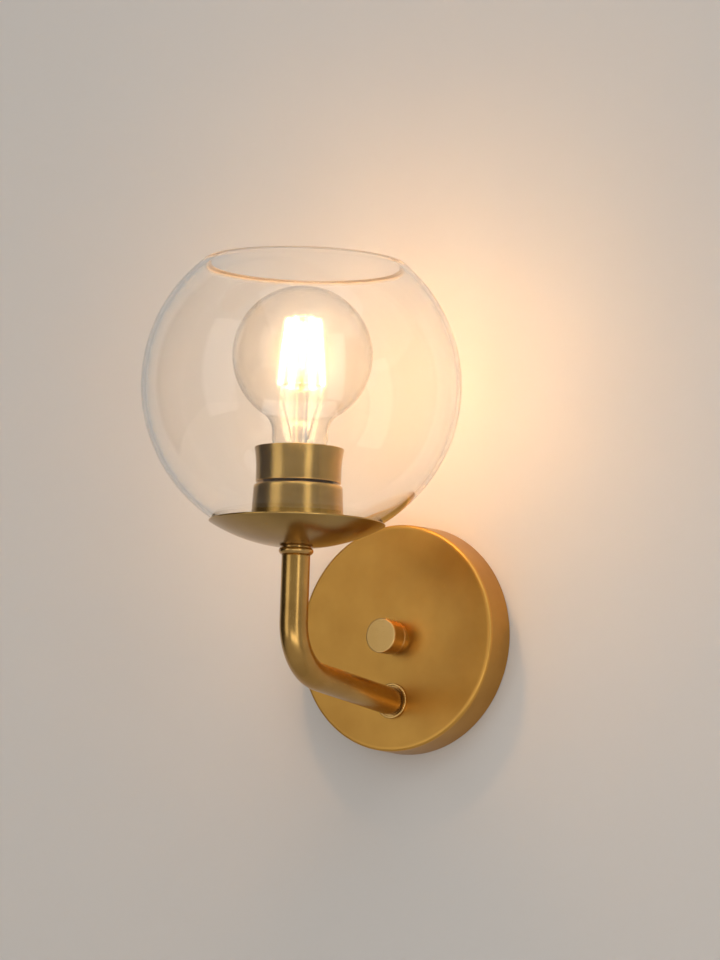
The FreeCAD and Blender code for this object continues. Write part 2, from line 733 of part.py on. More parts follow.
def make_socket_screw_shell():
    outer_r = SHELL_D / 2
    top_z = SOCKET_TOP_Z - SHELL_BELOW_TOP
    base_top_z = SOCKET_FLOOR_Z + SHELL_BASE
    thread_r = THREAD_MID_R + SCREW_FIT_GAP
    shell = turned(
        (SHELL_HOLE_D / 2, SOCKET_FLOOR_Z),
        (SHELL_HOLE_D / 2, base_top_z),
        (thread_r, base_top_z),
        (thread_r, THREAD_Z),
        *rolled_thread(THREAD_Z, SCREW_FIT_GAP),
        (LAMP_CAP_D / 2 + SCREW_FIT_GAP, THREAD_Z + THREAD_TURNS * THREAD_PITCH),
        (LAMP_CAP_D / 2 + SCREW_FIT_GAP, top_z),
        (outer_r, top_z),
        (outer_r, SOCKET_FLOOR_Z),
    )
    return on_upright(shell)


def make_socket_contact():
    stem_r = CONTACT_STEM_D / 2
    contact_r = CONTACT_D / 2
    contact = turned(
        (0, SOCKET_CEILING_Z),
        (stem_r, SOCKET_CEILING_Z),
        (stem_r, CONTACT_Z),
        (contact_r, CONTACT_Z),
        (contact_r, CONTACT_Z + CONTACT_THICKNESS),
        (0, CONTACT_Z + CONTACT_THICKNESS),
    )
    return on_upright(contact)


def terminal_block(side):
    """Brass block with a tapped hole from below, on the side of the lampholder."""
    inner = TERMINAL_INNER_X if side > 0 else -TERMINAL_OUTER_X
    block = Part.makeBox(
        TERMINAL_OUTER_X - TERMINAL_INNER_X, TERMINAL_WIDTH, TERMINAL_HEIGHT + TERMINAL_STRIP,
        Vector(inner, -TERMINAL_WIDTH / 2, TERMINAL_Z),
    )
    hole = Part.makeCylinder(
        TERMINAL_SCREW_D / 2 + SEAT_GAP, TERMINAL_SCREW_LENGTH,
        Vector(side * TERMINAL_MID_X, 0, TERMINAL_Z),
    )
    return block.cut(hole)


def make_hot_terminal():
    strip = Part.makeBox(
        TERMINAL_INNER_X + CONTACT_STEM_D / 2, TERMINAL_WIDTH, TERMINAL_STRIP,
        Vector(-CONTACT_STEM_D / 2, -TERMINAL_WIDTH / 2, TERMINAL_TOP_Z),
    )
    return on_upright(terminal_block(1).fuse(strip).removeSplitter())


def make_neutral_terminal():
    rivet = Part.makeCylinder(
        RIVET_D / 2, SOCKET_FLOOR, Vector(-TERMINAL_MID_X, 0, SOCKET_CEILING_Z)
    )
    return on_upright(terminal_block(-1).fuse(rivet).removeSplitter())


def make_terminal_screws():
    head_z = TERMINAL_Z - TERMINAL_HEAD_HEIGHT
    screws = []
    for side in (-1, 1):
        screw = turned(
            (0, head_z),
            (TERMINAL_HEAD_D / 2, head_z),
            (TERMINAL_HEAD_D / 2, TERMINAL_Z),
            (TERMINAL_SCREW_D / 2, TERMINAL_Z),
            (TERMINAL_SCREW_D / 2, TERMINAL_Z + TERMINAL_SCREW_LENGTH),
            (0, TERMINAL_Z + TERMINAL_SCREW_LENGTH),
        )
        screw.translate(Vector(side * TERMINAL_MID_X, 0, 0))
        screws.append(on_upright(screw))
    return Part.makeCompound(screws)


# ---- Lamp ----
LAMP_CAP_TOP_Z = LAMP_Z + LAMP_CAP_TOP
LAMP_COLLAR_Z = LAMP_CAP_TOP_Z - LAMP_COLLAR_HEIGHT


def lamp_glass_side(offset):
    """Lamp's outline from the neck up to the pole, moved inwards by offset."""
    radius = LAMP_R - offset
    fillet_r = LAMP_NECK_FILLET_R + offset
    neck_r = LAMP_NECK_D / 2 - offset
    mouth_r = LAMP_CAP_D / 2 - offset
    fillet_x = neck_r + fillet_r
    fillet_drop = math.sqrt((radius + fillet_r) ** 2 - fillet_x ** 2)
    fillet_z = LAMP_CENTRE_Z - fillet_drop
    meet = radius / (radius + fillet_r)
    meet_point = (fillet_x * meet, LAMP_CENTRE_Z - fillet_drop * meet)
    half_turn = math.atan2(fillet_drop, fillet_x) / 2
    fillet_mid = (
        fillet_x - fillet_r * math.cos(half_turn),
        fillet_z + fillet_r * math.sin(half_turn),
    )
    shoulder_z = fillet_z - LAMP_NECK_STRAIGHT
    drop = shoulder_z - LAMP_CAP_TOP_Z
    narrowing = neck_r - mouth_r
    shoulder_r = (drop ** 2 + narrowing ** 2) / (2 * narrowing)
    shoulder_turn = math.asin(drop / shoulder_r) / 2
    shoulder_mid = (
        neck_r - shoulder_r * (1 - math.cos(shoulder_turn)),
        shoulder_z - shoulder_r * math.sin(shoulder_turn),
    )
    return {
        "mouth": (mouth_r, LAMP_CAP_TOP_Z),
        "shoulder_mid": shoulder_mid,
        "shoulder": (neck_r, shoulder_z),
        "neck": (neck_r, fillet_z),
        "fillet_mid": fillet_mid,
        "meet": meet_point,
        "widest": (radius, LAMP_CENTRE_Z),
        "pole": (0, LAMP_CENTRE_Z + radius),
    }


def make_lamp_glass():
    out = lamp_glass_side(0)
    inn = lamp_glass_side(LAMP_WALL)
    seat_r = LAMP_CAP_D / 2 - LAMP_CAP_WALL - SEAT_GAP
    seat_z = LAMP_COLLAR_Z + SEAT_GAP
    glass = turned(
        (seat_r - LAMP_WALL, seat_z),
        (seat_r, seat_z),
        (seat_r, LAMP_CAP_TOP_Z),
        out["mouth"],
        (out["shoulder_mid"], out["shoulder"]),
        out["neck"],
        (out["fillet_mid"], out["meet"]),
        (out["widest"], out["pole"]),
        inn["pole"],
        (inn["widest"], inn["meet"]),
        (inn["fillet_mid"], inn["neck"]),
        inn["shoulder"],
        (inn["shoulder_mid"], (seat_r - LAMP_WALL, LAMP_CAP_TOP_Z)),
    )
    return on_upright(glass)


def make_lamp_screw_cap():
    outer_r = LAMP_CAP_D / 2
    inner_r = THREAD_MID_R - THREAD_DEPTH / 2 - LAMP_CAP_WALL
    base_z = LAMP_Z + LAMP_CAP_BASE
    cap = turned(
        (INSULATOR_TOP_D / 2, base_z),
        (THREAD_MID_R - THREAD_DEPTH, base_z),
        (THREAD_MID_R, THREAD_Z),
        *rolled_thread(THREAD_Z, 0),
        (outer_r, LAMP_COLLAR_Z),
        (outer_r, LAMP_CAP_TOP_Z),
        (outer_r - LAMP_CAP_WALL, LAMP_CAP_TOP_Z),
        (outer_r - LAMP_CAP_WALL, LAMP_COLLAR_Z),
        (inner_r, LAMP_COLLAR_Z),
        (inner_r, THREAD_Z),
        (INSULATOR_TOP_D / 2, THREAD_Z),
    )
    return on_upright(cap)


def make_lamp_insulator():
    top_r = INSULATOR_TOP_D / 2
    base_z = LAMP_Z + LAMP_CAP_BASE
    contact_top = LAMP_Z + END_CONTACT_HEIGHT
    insulator = turned(
        (0, contact_top),
        (END_CONTACT_D / 2, contact_top),
        (top_r, base_z),
        (top_r - SEAT_GAP, base_z),
        (top_r - SEAT_GAP, THREAD_Z),
        (0, THREAD_Z),
    )
    return on_upright(insulator)


def make_lamp_contact():
    contact_r = END_CONTACT_D / 2
    top_z = LAMP_Z + END_CONTACT_HEIGHT
    contact = turned(
        (0, LAMP_Z),
        (contact_r - END_CONTACT_HEIGHT, LAMP_Z),
        (contact_r, top_z),
        (0, top_z),
    )
    return on_upright(contact)


def make_lamp_driver():
    board_z = LAMP_Z + BOARD_FOOT
    can_z = board_z + CAN_RISE
    can_r = CAN_D / 2
    face_y = BOARD_THICKNESS / 2
    board = Part.makeBox(
        BOARD_WIDTH, BOARD_THICKNESS, BOARD_HEIGHT,
        Vector(-BOARD_WIDTH / 2, -face_y, board_z),
    )
    can = Part.makeCylinder(can_r, CAN_HEIGHT, Vector(0, face_y + can_r, can_z))
    foot = Part.makeBox(CAN_D, can_r, BOARD_THICKNESS, Vector(-can_r, 0, can_z))
    chip = Part.makeBox(
        CHIP_WIDTH, BOARD_THICKNESS, CHIP_HEIGHT,
        Vector(-CHIP_WIDTH / 2, -face_y - BOARD_THICKNESS, board_z + CHIP_HEIGHT),
    )
    return on_upright(board.fuse([can, chip, foot]).removeSplitter())


def make_lamp_stem():
    flare_r = LAMP_CAP_D / 2 - LAMP_CAP_WALL - LAMP_WALL - 2 * SEAT_GAP
    stem_r = STEM_D / 2
    mast_r = MAST_D / 2
    flare_z = LAMP_COLLAR_Z + SEAT_GAP
    flare_top = flare_z + STEM_FLARE_HEIGHT
    rim_top = flare_z + LAMP_WALL
    shoulder = LAMP_Z + STEM_TOP
    blend = stem_r - mast_r
    corner = blend * math.sqrt(0.5)
    stem = turned(
        (0, flare_z),
        (flare_r, flare_z),
        (flare_r, rim_top),
        (
            ((flare_r + 3 * stem_r) / 4, rim_top + STEM_FLARE_HEIGHT / 4),
            (stem_r, flare_top),
        ),
        (stem_r, shoulder),
        ((mast_r + corner, shoulder + corner), (mast_r, shoulder + blend)),
        (mast_r, LAMP_Z + MAST_TOP),
        (0, LAMP_Z + MAST_TOP),
    )
    return on_upright(stem)


def cage_point(radius, height, angle_deg):
    """Point of the filament cage, above the end contact."""
    angle = math.radians(angle_deg)
    return Vector(radius * math.cos(angle), radius * math.sin(angle), LAMP_Z + height)


def filament_angles():
    return [LEAD_TURN_DEG + 360.0 * i / FILAMENT_COUNT for i in range(FILAMENT_COUNT)]


def make_led_filaments():
    rods = []
    for angle in filament_angles():
        low = cage_point(FILAMENT_BOTTOM_R, FILAMENT_BOTTOM, angle)
        high = cage_point(FILAMENT_TOP_R, FILAMENT_TOP, angle)
        rods.append(on_upright(rod_between(low, high, FILAMENT_D / 2)))
    return Part.makeCompound(rods)


def make_filament_anchor():
    hub_r = ANCHOR_D / 2
    hub = Part.makeCylinder(hub_r, ANCHOR_HEIGHT, Vector(0, 0, LAMP_Z + MAST_TOP + SEAT_GAP))
    spoke_height = MAST_TOP + ANCHOR_HEIGHT / 2
    tip_height = FILAMENT_TOP + SPOKE_D / 2 + FILAMENT_SEAT
    spokes = []
    for angle in filament_angles():
        start = cage_point(hub_r / 2, spoke_height, angle)
        end = cage_point(FILAMENT_TOP_R, tip_height, angle)
        spokes.append(rod_between(start, end, SPOKE_D / 2))
    return on_upright(hub.fuse(spokes))


def make_filament_leads():
    wire_r = LEAD_D / 2
    ring_height = FILAMENT_BOTTOM - wire_r - FILAMENT_SEAT
    loop = Part.makeTorus(FILAMENT_BOTTOM_R, wire_r, Vector(0, 0, LAMP_Z + ring_height))
    leads = []
    for angle in (LEAD_TURN_DEG, LEAD_TURN_DEG + 180):
        foot = cage_point(STEM_D / 2 + wire_r + SEAT_GAP, LEAD_FOOT, angle)
        leads.append(rod_between(foot, cage_point(FILAMENT_BOTTOM_R, ring_height, angle), wire_r))
    return on_upright(loop.fuse(leads))


# ---- Wires ----
def supply_wire(side):
    """Wire from its connector, through the arm, to its terminal in the lampholder."""
    x = side * WIRE_OFFSET
    foot_bend, elbow = arm_points(x)[1:3]
    tip_z = CONNECTOR_MOUTH_Z + WIRE_TIP_DEPTH
    turn_z = TERMINAL_TOP_Z - SOCKET_WIRE_BELOW_STRIP
    half_x = side * CONNECTOR_X / 2
    points = [
        Vector(side * CONNECTOR_X, -CONNECTOR_DEPTH, tip_z),
        Vector(side * CONNECTOR_X, -CONNECTOR_DEPTH, WIRE_LOOP_Z),
        Vector(half_x, -(CONNECTOR_DEPTH + WIRE_TURN_DEPTH) / 2, WIRE_LOOP_Z),
        Vector(x, -WIRE_TURN_DEPTH, FOOT_Z),
        foot_bend,
        elbow,
        Vector(x, -ARM_OUT, turn_z),
        Vector(side * (TERMINAL_INNER_X - SEAT_GAP), -ARM_OUT, turn_z),
    ]
    radii = [WIRE_BEND_R, WIRE_BEND_R, WIRE_BEND_R, FOOT_BEND_R, ELBOW_R, SOCKET_WIRE_BEND_R]
    route = rounded_route(points, radii)
    print("wire", side, "length", round(route.Length, 1), "least radius", min(radii))
    return rod_along(route, WIRE_D / 2)


def ground_wire_points():
    tip_x = GROUND_CONNECTOR_X - WIRE_TIP_DEPTH
    head_edge = GROUND_HEAD_D / 2 + SEAT_GAP
    wire_y = -(BAR_THICKNESS + WIRE_D / 2 + SEAT_GAP)
    return [
        Vector(GROUND_X, wire_y, head_edge),
        Vector(GROUND_X, wire_y, head_edge + 3 * WIRE_BEND_R),
        Vector(GROUND_X - WIRE_BEND_R, -CONNECTOR_DEPTH, GROUND_CONNECTOR_Z),
        Vector(tip_x, -CONNECTOR_DEPTH, GROUND_CONNECTOR_Z),
    ]


def make_ground_wire():
    route = rounded_route(ground_wire_points(), [WIRE_BEND_R, WIRE_BEND_R])
    print("ground wire length", round(route.Length, 1))
    return rod_along(route, WIRE_D / 2)


def wire_connector():
    """Twist-on connector about Z with its mouth at z = 0."""
    tip_r = WIRE_D / 2 + SEAT_GAP
    end_r = CONNECTOR_END_D / 2
    return turned(
        (CONNECTOR_BORE_D / 2, 0),
        (CONNECTOR_MOUTH_D / 2, 0),
        (end_r, CONNECTOR_LENGTH - NUT_CHAMFER),
        (end_r - NUT_CHAMFER, CONNECTOR_LENGTH),
        (0, CONNECTOR_LENGTH),
        (0, CONNECTOR_BORE_DEPTH),
        (tip_r, CONNECTOR_BORE_DEPTH),
    )


def make_wire_connectors():
    connectors = []
    for side in (-1, 1):
        upright = wire_connector()
        upright.translate(Vector(side * CONNECTOR_X, -CONNECTOR_DEPTH, CONNECTOR_MOUTH_Z))
        connectors.append(upright)
    level = wire_connector()
    level.rotate(Vector(0, 0, 0), Vector(0, 1, 0), -90)
    level.translate(Vector(GROUND_CONNECTOR_X, -CONNECTOR_DEPTH, GROUND_CONNECTOR_Z))
    connectors.append(level)
    return Part.makeCompound(connectors)


PIECES = {
    "canopy": make_canopy,
    "crossbar": make_crossbar,
    "ground_screw": make_ground_screw,
    "canopy_stud": make_canopy_stud,
    "stud_lock_nut": make_stud_lock_nut,
    "knob_collar": make_knob_collar,
    "cap_knob": make_cap_knob,
    "arm_foot_ring": make_arm_foot_ring,
    "arm_nipple": make_arm_nipple,
    "arm_lock_washer": make_arm_lock_washer,
    "arm_lock_nut": make_arm_lock_nut,
    "arm_tube": make_arm_tube,
    "arm_end_bushes": make_arm_end_bushes,
    "top_nipple": make_top_nipple,
    "bead_collar": make_bead_collar,
    "glass_dish": make_glass_dish,
    "dish_washer": make_dish_washer,
    "dish_lock_nut": make_dish_lock_nut,
    "lower_gasket": make_lower_gasket,
    "glass_globe": make_glass_globe,
    "upper_gasket": make_upper_gasket,
    "glass_retaining_cup": make_glass_retaining_cup,
    "socket_shroud_cup": make_socket_shroud_cup,
    "socket_cap": make_socket_cap,
    "socket_body": make_socket_body,
    "socket_screw_shell": make_socket_screw_shell,
    "socket_contact": make_socket_contact,
    "hot_terminal": make_hot_terminal,
    "neutral_terminal": make_neutral_terminal,
    "terminal_screws": make_terminal_screws,
    "lamp_glass": make_lamp_glass,
    "lamp_screw_cap": make_lamp_screw_cap,
    "lamp_insulator": make_lamp_insulator,
    "lamp_contact": make_lamp_contact,
    "lamp_driver": make_lamp_driver,
    "lamp_stem": make_lamp_stem,
    "led_filaments": make_led_filaments,
    "filament_anchor": make_filament_anchor,
    "filament_leads": make_filament_leads,
    "hot_wire": lambda: supply_wire(1),
    "neutral_wire": lambda: supply_wire(-1),
    "ground_wire": make_ground_wire,
    "wire_connectors": make_wire_connectors,
}


def main():
    os.makedirs("parts", exist_ok=True)
    for name, make in PIECES.items():
        shape = make()
        shape.exportStep("parts/" + name + ".step")
        print(name, "solids", len(shape.Solids), "volume", round(shape.Volume, 1), shape.isValid())


main()
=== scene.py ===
# %% [markdown]
# # A globe wall light in brass and clear glass
# A round backplate sits on the wall. A bent tube stands out of it, turns upwards, and
# carries a shallow dish. An open clear globe stands on the dish, two brass cups hold it
# down, and a screw lamp rises out of the cups. The fixed frame comes from the solid
# model; this lesson dresses it in smooth surfaces, brushed brass, glass and light.

# %% Load the frame
import math

import bmesh
import bpy
import numpy as np
from mathutils import Matrix, Vector


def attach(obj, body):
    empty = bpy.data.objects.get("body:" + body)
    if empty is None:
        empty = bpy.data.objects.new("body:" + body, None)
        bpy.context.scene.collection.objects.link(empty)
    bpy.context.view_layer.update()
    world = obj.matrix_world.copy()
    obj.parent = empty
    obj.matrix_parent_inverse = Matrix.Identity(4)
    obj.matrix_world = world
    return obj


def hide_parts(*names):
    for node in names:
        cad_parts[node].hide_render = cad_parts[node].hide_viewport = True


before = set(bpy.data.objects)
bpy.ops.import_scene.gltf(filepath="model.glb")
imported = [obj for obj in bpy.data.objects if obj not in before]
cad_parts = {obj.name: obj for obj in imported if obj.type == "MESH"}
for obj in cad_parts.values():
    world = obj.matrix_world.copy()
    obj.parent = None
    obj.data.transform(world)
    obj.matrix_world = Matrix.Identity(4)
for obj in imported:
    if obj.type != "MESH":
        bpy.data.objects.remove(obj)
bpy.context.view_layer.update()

MM = 0.001
UPRIGHT_Y = -121.4      # the upright's axis, in millimetres from the wall

# %% [markdown]
# ## Outlines
# Nearly every piece here was turned on a lathe or spun, so it is an outline carried
# round an axis. A real edge is never quite sharp: it is broken by a file or rounded by
# polishing, and that small round catches the light. The outline below takes corner
# points, each with the radius of its round, and gives a dense row of points. Beside each
# round it adds a point on the flat, so that smooth shading leaves the flat face flat.


# %% Outline helpers
def outline(*corners, closed=True, steps=5):
    """Rows of (r, z, edge). Each corner is (r, z, round): it becomes an arc of that radius
    tangent to both sides, with edge 1 on the arc and 0 on the flats."""
    rows = []
    count = len(corners)
    for i, (r, z, fillet) in enumerate(corners):
        here = np.array([r, z])
        if fillet == 0 or (not closed and i in (0, count - 1)):
            rows.append([[r, z, 0.0]])
            continue
        back = np.array(corners[i - 1][:2]) - here
        ahead = np.array(corners[(i + 1) % count][:2]) - here
        back_length, ahead_length = np.linalg.norm(back), np.linalg.norm(ahead)
        back, ahead = back / back_length, ahead / ahead_length
        half = (math.pi - math.acos(np.clip(back @ ahead, -1, 1))) / 2
        reach = fillet * math.tan(half)
        inward = (back + ahead) / np.linalg.norm(back + ahead)
        centre = here + inward * fillet / math.cos(half)
        turn = np.linspace(-half, half, steps)[:, None]
        side = (ahead - back) / np.linalg.norm(ahead - back)
        arc = centre + fillet * (np.sin(turn) * side - np.cos(turn) * inward)
        before = here + back * min(2 * reach, (reach + back_length) / 2)
        after = here + ahead * min(2 * reach, (reach + ahead_length) / 2)
        rows.append([[*before, 0.0]])
        rows.append(np.column_stack([arc, np.ones(steps)]))
        rows.append([[*after, 0.0]])
    return np.vstack(rows)


def sphere_run(radius, centre_z, start_r, end_r, count, below=True):
    """Corner points down or up a sphere: r = radius sin t and z = centre -+ radius cos t,
    with t evenly spaced between the two distances from the axis."""
    t = np.linspace(math.asin(start_r / radius), math.asin(end_r / radius), count)
    z = centre_z - radius * np.cos(t) if below else centre_z + radius * np.cos(t)
    return [(r, h, 0) for r, h in zip(radius * np.sin(t), z)]


print(len(outline((5, 0, 1), (10, 0, 1), (10, 4, 1), (5, 4, 1))), "rows for a plain ring")

# %% [markdown]
# ## From grid to mesh
# A surface is a grid of points: its rows run along the outline or the path, and its
# columns run round the piece. Each quad joins a point to its neighbours. The grid also
# carries lengths along and round the surface as a UV map, in metres, so that brush
# lines have one true scale on every piece, and an attribute that marks the rounded
# edges, where the brass gets a brighter tone as a painted highlight.


# %% Surface helpers
def surface(name, grid, edge=None, loop=False, body="fixture"):
    """Mesh of quads over grid[row, column]. Columns always wrap round; rows wrap where
    loop is set. UV is the distance round the middle row and the distance along column 0."""
    rows, columns = grid.shape[:2]
    last = rows if loop else rows - 1
    i, j = np.meshgrid(np.arange(last), np.arange(columns), indexing="ij")
    i_next, j_next = (i + 1) % rows, (j + 1) % columns
    quads = np.stack(
        [i * columns + j, i * columns + j_next, i_next * columns + j_next, i_next * columns + j], -1
    ).reshape(-1, 4)
    mesh = bpy.data.meshes.new(name)
    mesh.from_pydata(grid.reshape(-1, 3) * MM, [], quads)
    closed_rows = np.concatenate([grid, grid[:1]])
    along = np.linalg.norm(np.diff(closed_rows, axis=0), axis=2).max(axis=1)
    v = np.concatenate([[0], np.cumsum(along)]) * MM
    widest = np.linalg.norm(np.diff(grid, axis=1), axis=2).sum(axis=1).max()
    u = np.arange(columns + 1) / columns * widest * MM
    uv = np.stack([u[np.stack([j, j + 1, j + 1, j], -1)], v[np.stack([i, i, i + 1, i + 1], -1)]], -1)
    mesh.uv_layers.new(name="lengths").data.foreach_set("uv", uv.ravel().astype(np.float32))
    marks = np.zeros(rows) if edge is None else edge
    attribute = mesh.attributes.new("edge", "FLOAT", "POINT")
    attribute.data.foreach_set("value", np.repeat(marks, columns).astype(np.float32))
    return finished(name, mesh, body)


def finished(name, mesh, body):
    """Join the doubled points at poles, shade smoothly and put the piece on its body."""
    work = bmesh.new()
    work.from_mesh(mesh)
    bmesh.ops.remove_doubles(work, verts=work.verts, dist=1e-7)
    work.to_mesh(mesh)
    work.free()
    mesh.shade_smooth()
    piece = bpy.data.objects.new(name, mesh)
    bpy.context.collection.objects.link(piece)
    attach(piece, body)
    return piece


def turned(rows, columns=160, wall=False, x=0.0, z=0.0):
    """Grid of a turned piece: (r cos a, r sin a, h) on the upright's axis, or
    (x + r cos a, -h, z + r sin a) for one that stands out of the wall."""
    a = np.arange(columns) * 2 * math.pi / columns
    r, h = rows[:, :1], rows[:, 1:2]
    across, up = r * np.cos(a), r * np.sin(a)
    level = h + 0 * a
    if wall:
        return np.stack([across + x, -level, up + z], -1)
    return np.stack([across, up + UPRIGHT_Y, level], -1)


def turned_piece(name, rows, columns=160, body="fixture", loop=True, **place):
    """A turned piece as a finished mesh with its edges marked."""
    return surface(name, turned(rows, columns, **place), rows[:, 2], loop, body)


# %% [markdown]
# ## Brushed brass
# The brass is satin: an abrasive belt or pad leaves fine parallel lines, then a clear
# lacquer goes over them. On a turned piece the lines run round it, so they change
# quickly along the outline and hardly at all round it. That is a noise stretched
# strongly one way. It drives the roughness and a very shallow bump. A second, broad
# noise varies the tone a little, as aged brass does, and the edge marks paint the
# rounded edges in a brighter tone, a painted highlight. The lacquer is the shader's coat.


# %% Node helpers
def new_material(name):
    """Empty node material and its Principled shader."""
    material = bpy.data.materials.new(name)
    material.use_nodes = True
    return material, material.node_tree, material.node_tree.nodes["Principled BSDF"]


def node(tree, kind, links=(), **values):
    """Add a node; values set its properties or sockets, links are (output, socket)."""
    made = tree.nodes.new(kind)
    for key, value in values.items():
        if hasattr(made, key):
            setattr(made, key, value)
        else:
            made.inputs[key.replace("_", " ")].default_value = value
    for output, socket in links:
        tree.links.new(output, made.inputs[socket])
    return made


def noise(tree, coordinates, scale, detail=2.0, stretch=(1, 1, 1)):
    """Noise over the given coordinates, stretched along each axis."""
    mapped = node(tree, "ShaderNodeMapping", [(coordinates, "Vector")])
    mapped.inputs["Scale"].default_value = stretch
    return node(tree, "ShaderNodeTexNoise", [(mapped.outputs[0], "Vector")], Scale=scale, Detail=detail)


def between(tree, source, low, high):
    """Carry a 0 to 1 pattern into the range low to high."""
    ranged = node(tree, "ShaderNodeMapRange", [(source, "Value")])
    ranged.inputs["To Min"].default_value = low
    ranged.inputs["To Max"].default_value = high
    return ranged.outputs["Result"]


def blended(tree, factor, first, second):
    """Mix two colours by a factor socket. A colour is a tuple or a socket."""
    mix = node(tree, "ShaderNodeMix", data_type="RGBA")
    tree.links.new(factor, mix.inputs[0])
    for colour, socket in ((first, mix.inputs[6]), (second, mix.inputs[7])):
        if isinstance(colour, tuple):
            socket.default_value = (*colour, 1)
        else:
            tree.links.new(colour, socket)
    return mix.outputs[2]


def dress(names, material):
    """Give pieces or solid nodes their one material."""
    for name in names:
        mesh = bpy.data.objects[name].data
        mesh.materials.clear()
        mesh.materials.append(material)


# %% Brass materials
def brushed_brass(name, tone, deep, roughness, lines=9000, along=False, coat=0.25, relief=0.05):
    """Satin brass. Lines run round a turned piece, or along a tube with along set."""
    material, tree, shader = new_material(name)
    lengths = node(tree, "ShaderNodeUVMap", uv_map="lengths").outputs[0]
    place = node(tree, "ShaderNodeTexCoord").outputs["Object"]
    stretch = (1, 0.012, 1) if along else (0.012, 1, 1)
    brush = noise(tree, lengths, lines, 3.0, stretch).outputs[0]
    patches = noise(tree, place, 38, 3.0).outputs[0]
    edges = node(tree, "ShaderNodeAttribute", attribute_name="edge").outputs["Fac"]
    patina = between(tree, patches, -0.35, 1.35)
    # The rounded edges get a tone 12 percent brighter: a painted highlight, added to the real light that the
    # rounds catch.
    tone_with_edge_highlight = blended(tree, edges, blended(tree, patina, deep, tone), tuple(min(1, c * 1.12) for c in tone))
    tree.links.new(tone_with_edge_highlight, shader.inputs["Base Color"])
    grain = between(tree, brush, roughness - 0.07, roughness + 0.07)
    tree.links.new(grain, shader.inputs["Roughness"])
    bump = node(tree, "ShaderNodeBump", [(brush, "Height")], Strength=relief, Distance=0.0002)
    tree.links.new(bump.outputs[0], shader.inputs["Normal"])
    shader.inputs["Metallic"].default_value = 1.0
    shader.inputs["Coat Weight"].default_value = coat
    shader.inputs["Coat Roughness"].default_value = 0.22
    return material


plate_brass = brushed_brass("plate_brass", (0.60, 0.32, 0.065), (0.48, 0.24, 0.045), 0.36, coat=0.12)
tube_brass = brushed_brass(
    "tube_brass", (0.60, 0.36, 0.105), (0.40, 0.22, 0.055), 0.25, coat=0.15, along=True
)
cup_brass = brushed_brass(
    "cup_brass", (0.54, 0.335, 0.10), (0.33, 0.185, 0.045), 0.21, coat=0.08, relief=0.12
)
dish_brass = brushed_brass("dish_brass", (0.47, 0.30, 0.095), (0.30, 0.18, 0.05), 0.20, coat=0.08)
print("brass finishes", [m.name for m in bpy.data.materials if "brass" in m.name])

# %% [markdown]
# ## Backplate
# The backplate is a shallow spun pan: a flat front, a rounded corner and a rim that
# widens slightly towards the wall. It is one closed outline, outside and inside, with
# the hole for the centre stud in the middle. The arm's nipple also passes through it,
# behind the foot ring, so its hole never shows.

# %% Backplate
FRONT = 19.5            # from the wall to the backplate's face
PLATE_R, PLATE_FRONT_R = 66.0, 65.4
PLATE_SHEET = 1.0
STUD_HOLE_R = 3.5
plate_rows = outline(
    (PLATE_R, 0, 0.15), (PLATE_FRONT_R, FRONT, 1.4), (STUD_HOLE_R, FRONT, 0.2),
    (STUD_HOLE_R, FRONT - PLATE_SHEET, 0.2), (PLATE_FRONT_R - PLATE_SHEET, FRONT - PLATE_SHEET, 0.5),
    (PLATE_R - PLATE_SHEET, 0, 0.15), steps=7,
)
backplate = turned_piece("backplate", plate_rows, 256, wall=True)
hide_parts("canopy")
dress(["backplate"], plate_brass)
print("backplate rows", len(plate_rows))

# %% [markdown]
# ## Thumb nut and its collar
# A smooth round nut holds the backplate on its stud. Behind it a thin neck leaves a dark
# groove, then comes a flat collar. The nut turns with its own body.

# %% Thumb nut
COLLAR_R, COLLAR_HEIGHT = 9.2, 3.0
collar = turned_piece("nut_collar", outline(
    (STUD_HOLE_R, FRONT, 0.1), (COLLAR_R, FRONT, 0.1),
    (COLLAR_R, FRONT + COLLAR_HEIGHT, 0.4), (STUD_HOLE_R, FRONT + COLLAR_HEIGHT, 0.1),
), 96, wall=True)
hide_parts("knob_collar")
NUT_R, NUT_NECK_R, NUT_BORE_R = 10.0, 7.6, 3.06
NUT_BACK = FRONT + COLLAR_HEIGHT + 0.15
NUT_STEP = NUT_BACK + 1
NUT_BORE_END = NUT_BACK + 9.5
NUT_FACE = NUT_BACK + 11.5
nut = turned_piece("thumb_nut", outline(
    (NUT_BORE_R, NUT_BACK, 0.1), (NUT_NECK_R, NUT_BACK, 0.15), (NUT_NECK_R, NUT_STEP, 0.1),
    (NUT_R, NUT_STEP, 0.5), (NUT_R, NUT_FACE, 0.5), (0, NUT_FACE, 0),
    (0, NUT_BORE_END, 0), (NUT_BORE_R, NUT_BORE_END, 0.1),
), 128, body="knob", wall=True)
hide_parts("cap_knob")
nut_brass = brushed_brass("nut_brass", (0.60, 0.38, 0.14), (0.50, 0.30, 0.09), 0.30, coat=0.1)
dress(["nut_collar", "thumb_nut"], nut_brass)

# %% [markdown]
# ## Arm
# The tube leaves the backplate square to it, bends up by six degrees, runs out to the
# elbow and turns straight up. A bender keeps a tube round, so the surface is a circle
# carried along a path of straight runs and arcs that touch them. The outside goes up
# the path and the inside comes back down it, which closes the wall at both ends. The
# foot stands in a ring with a recess, and a turned bead caps the top.


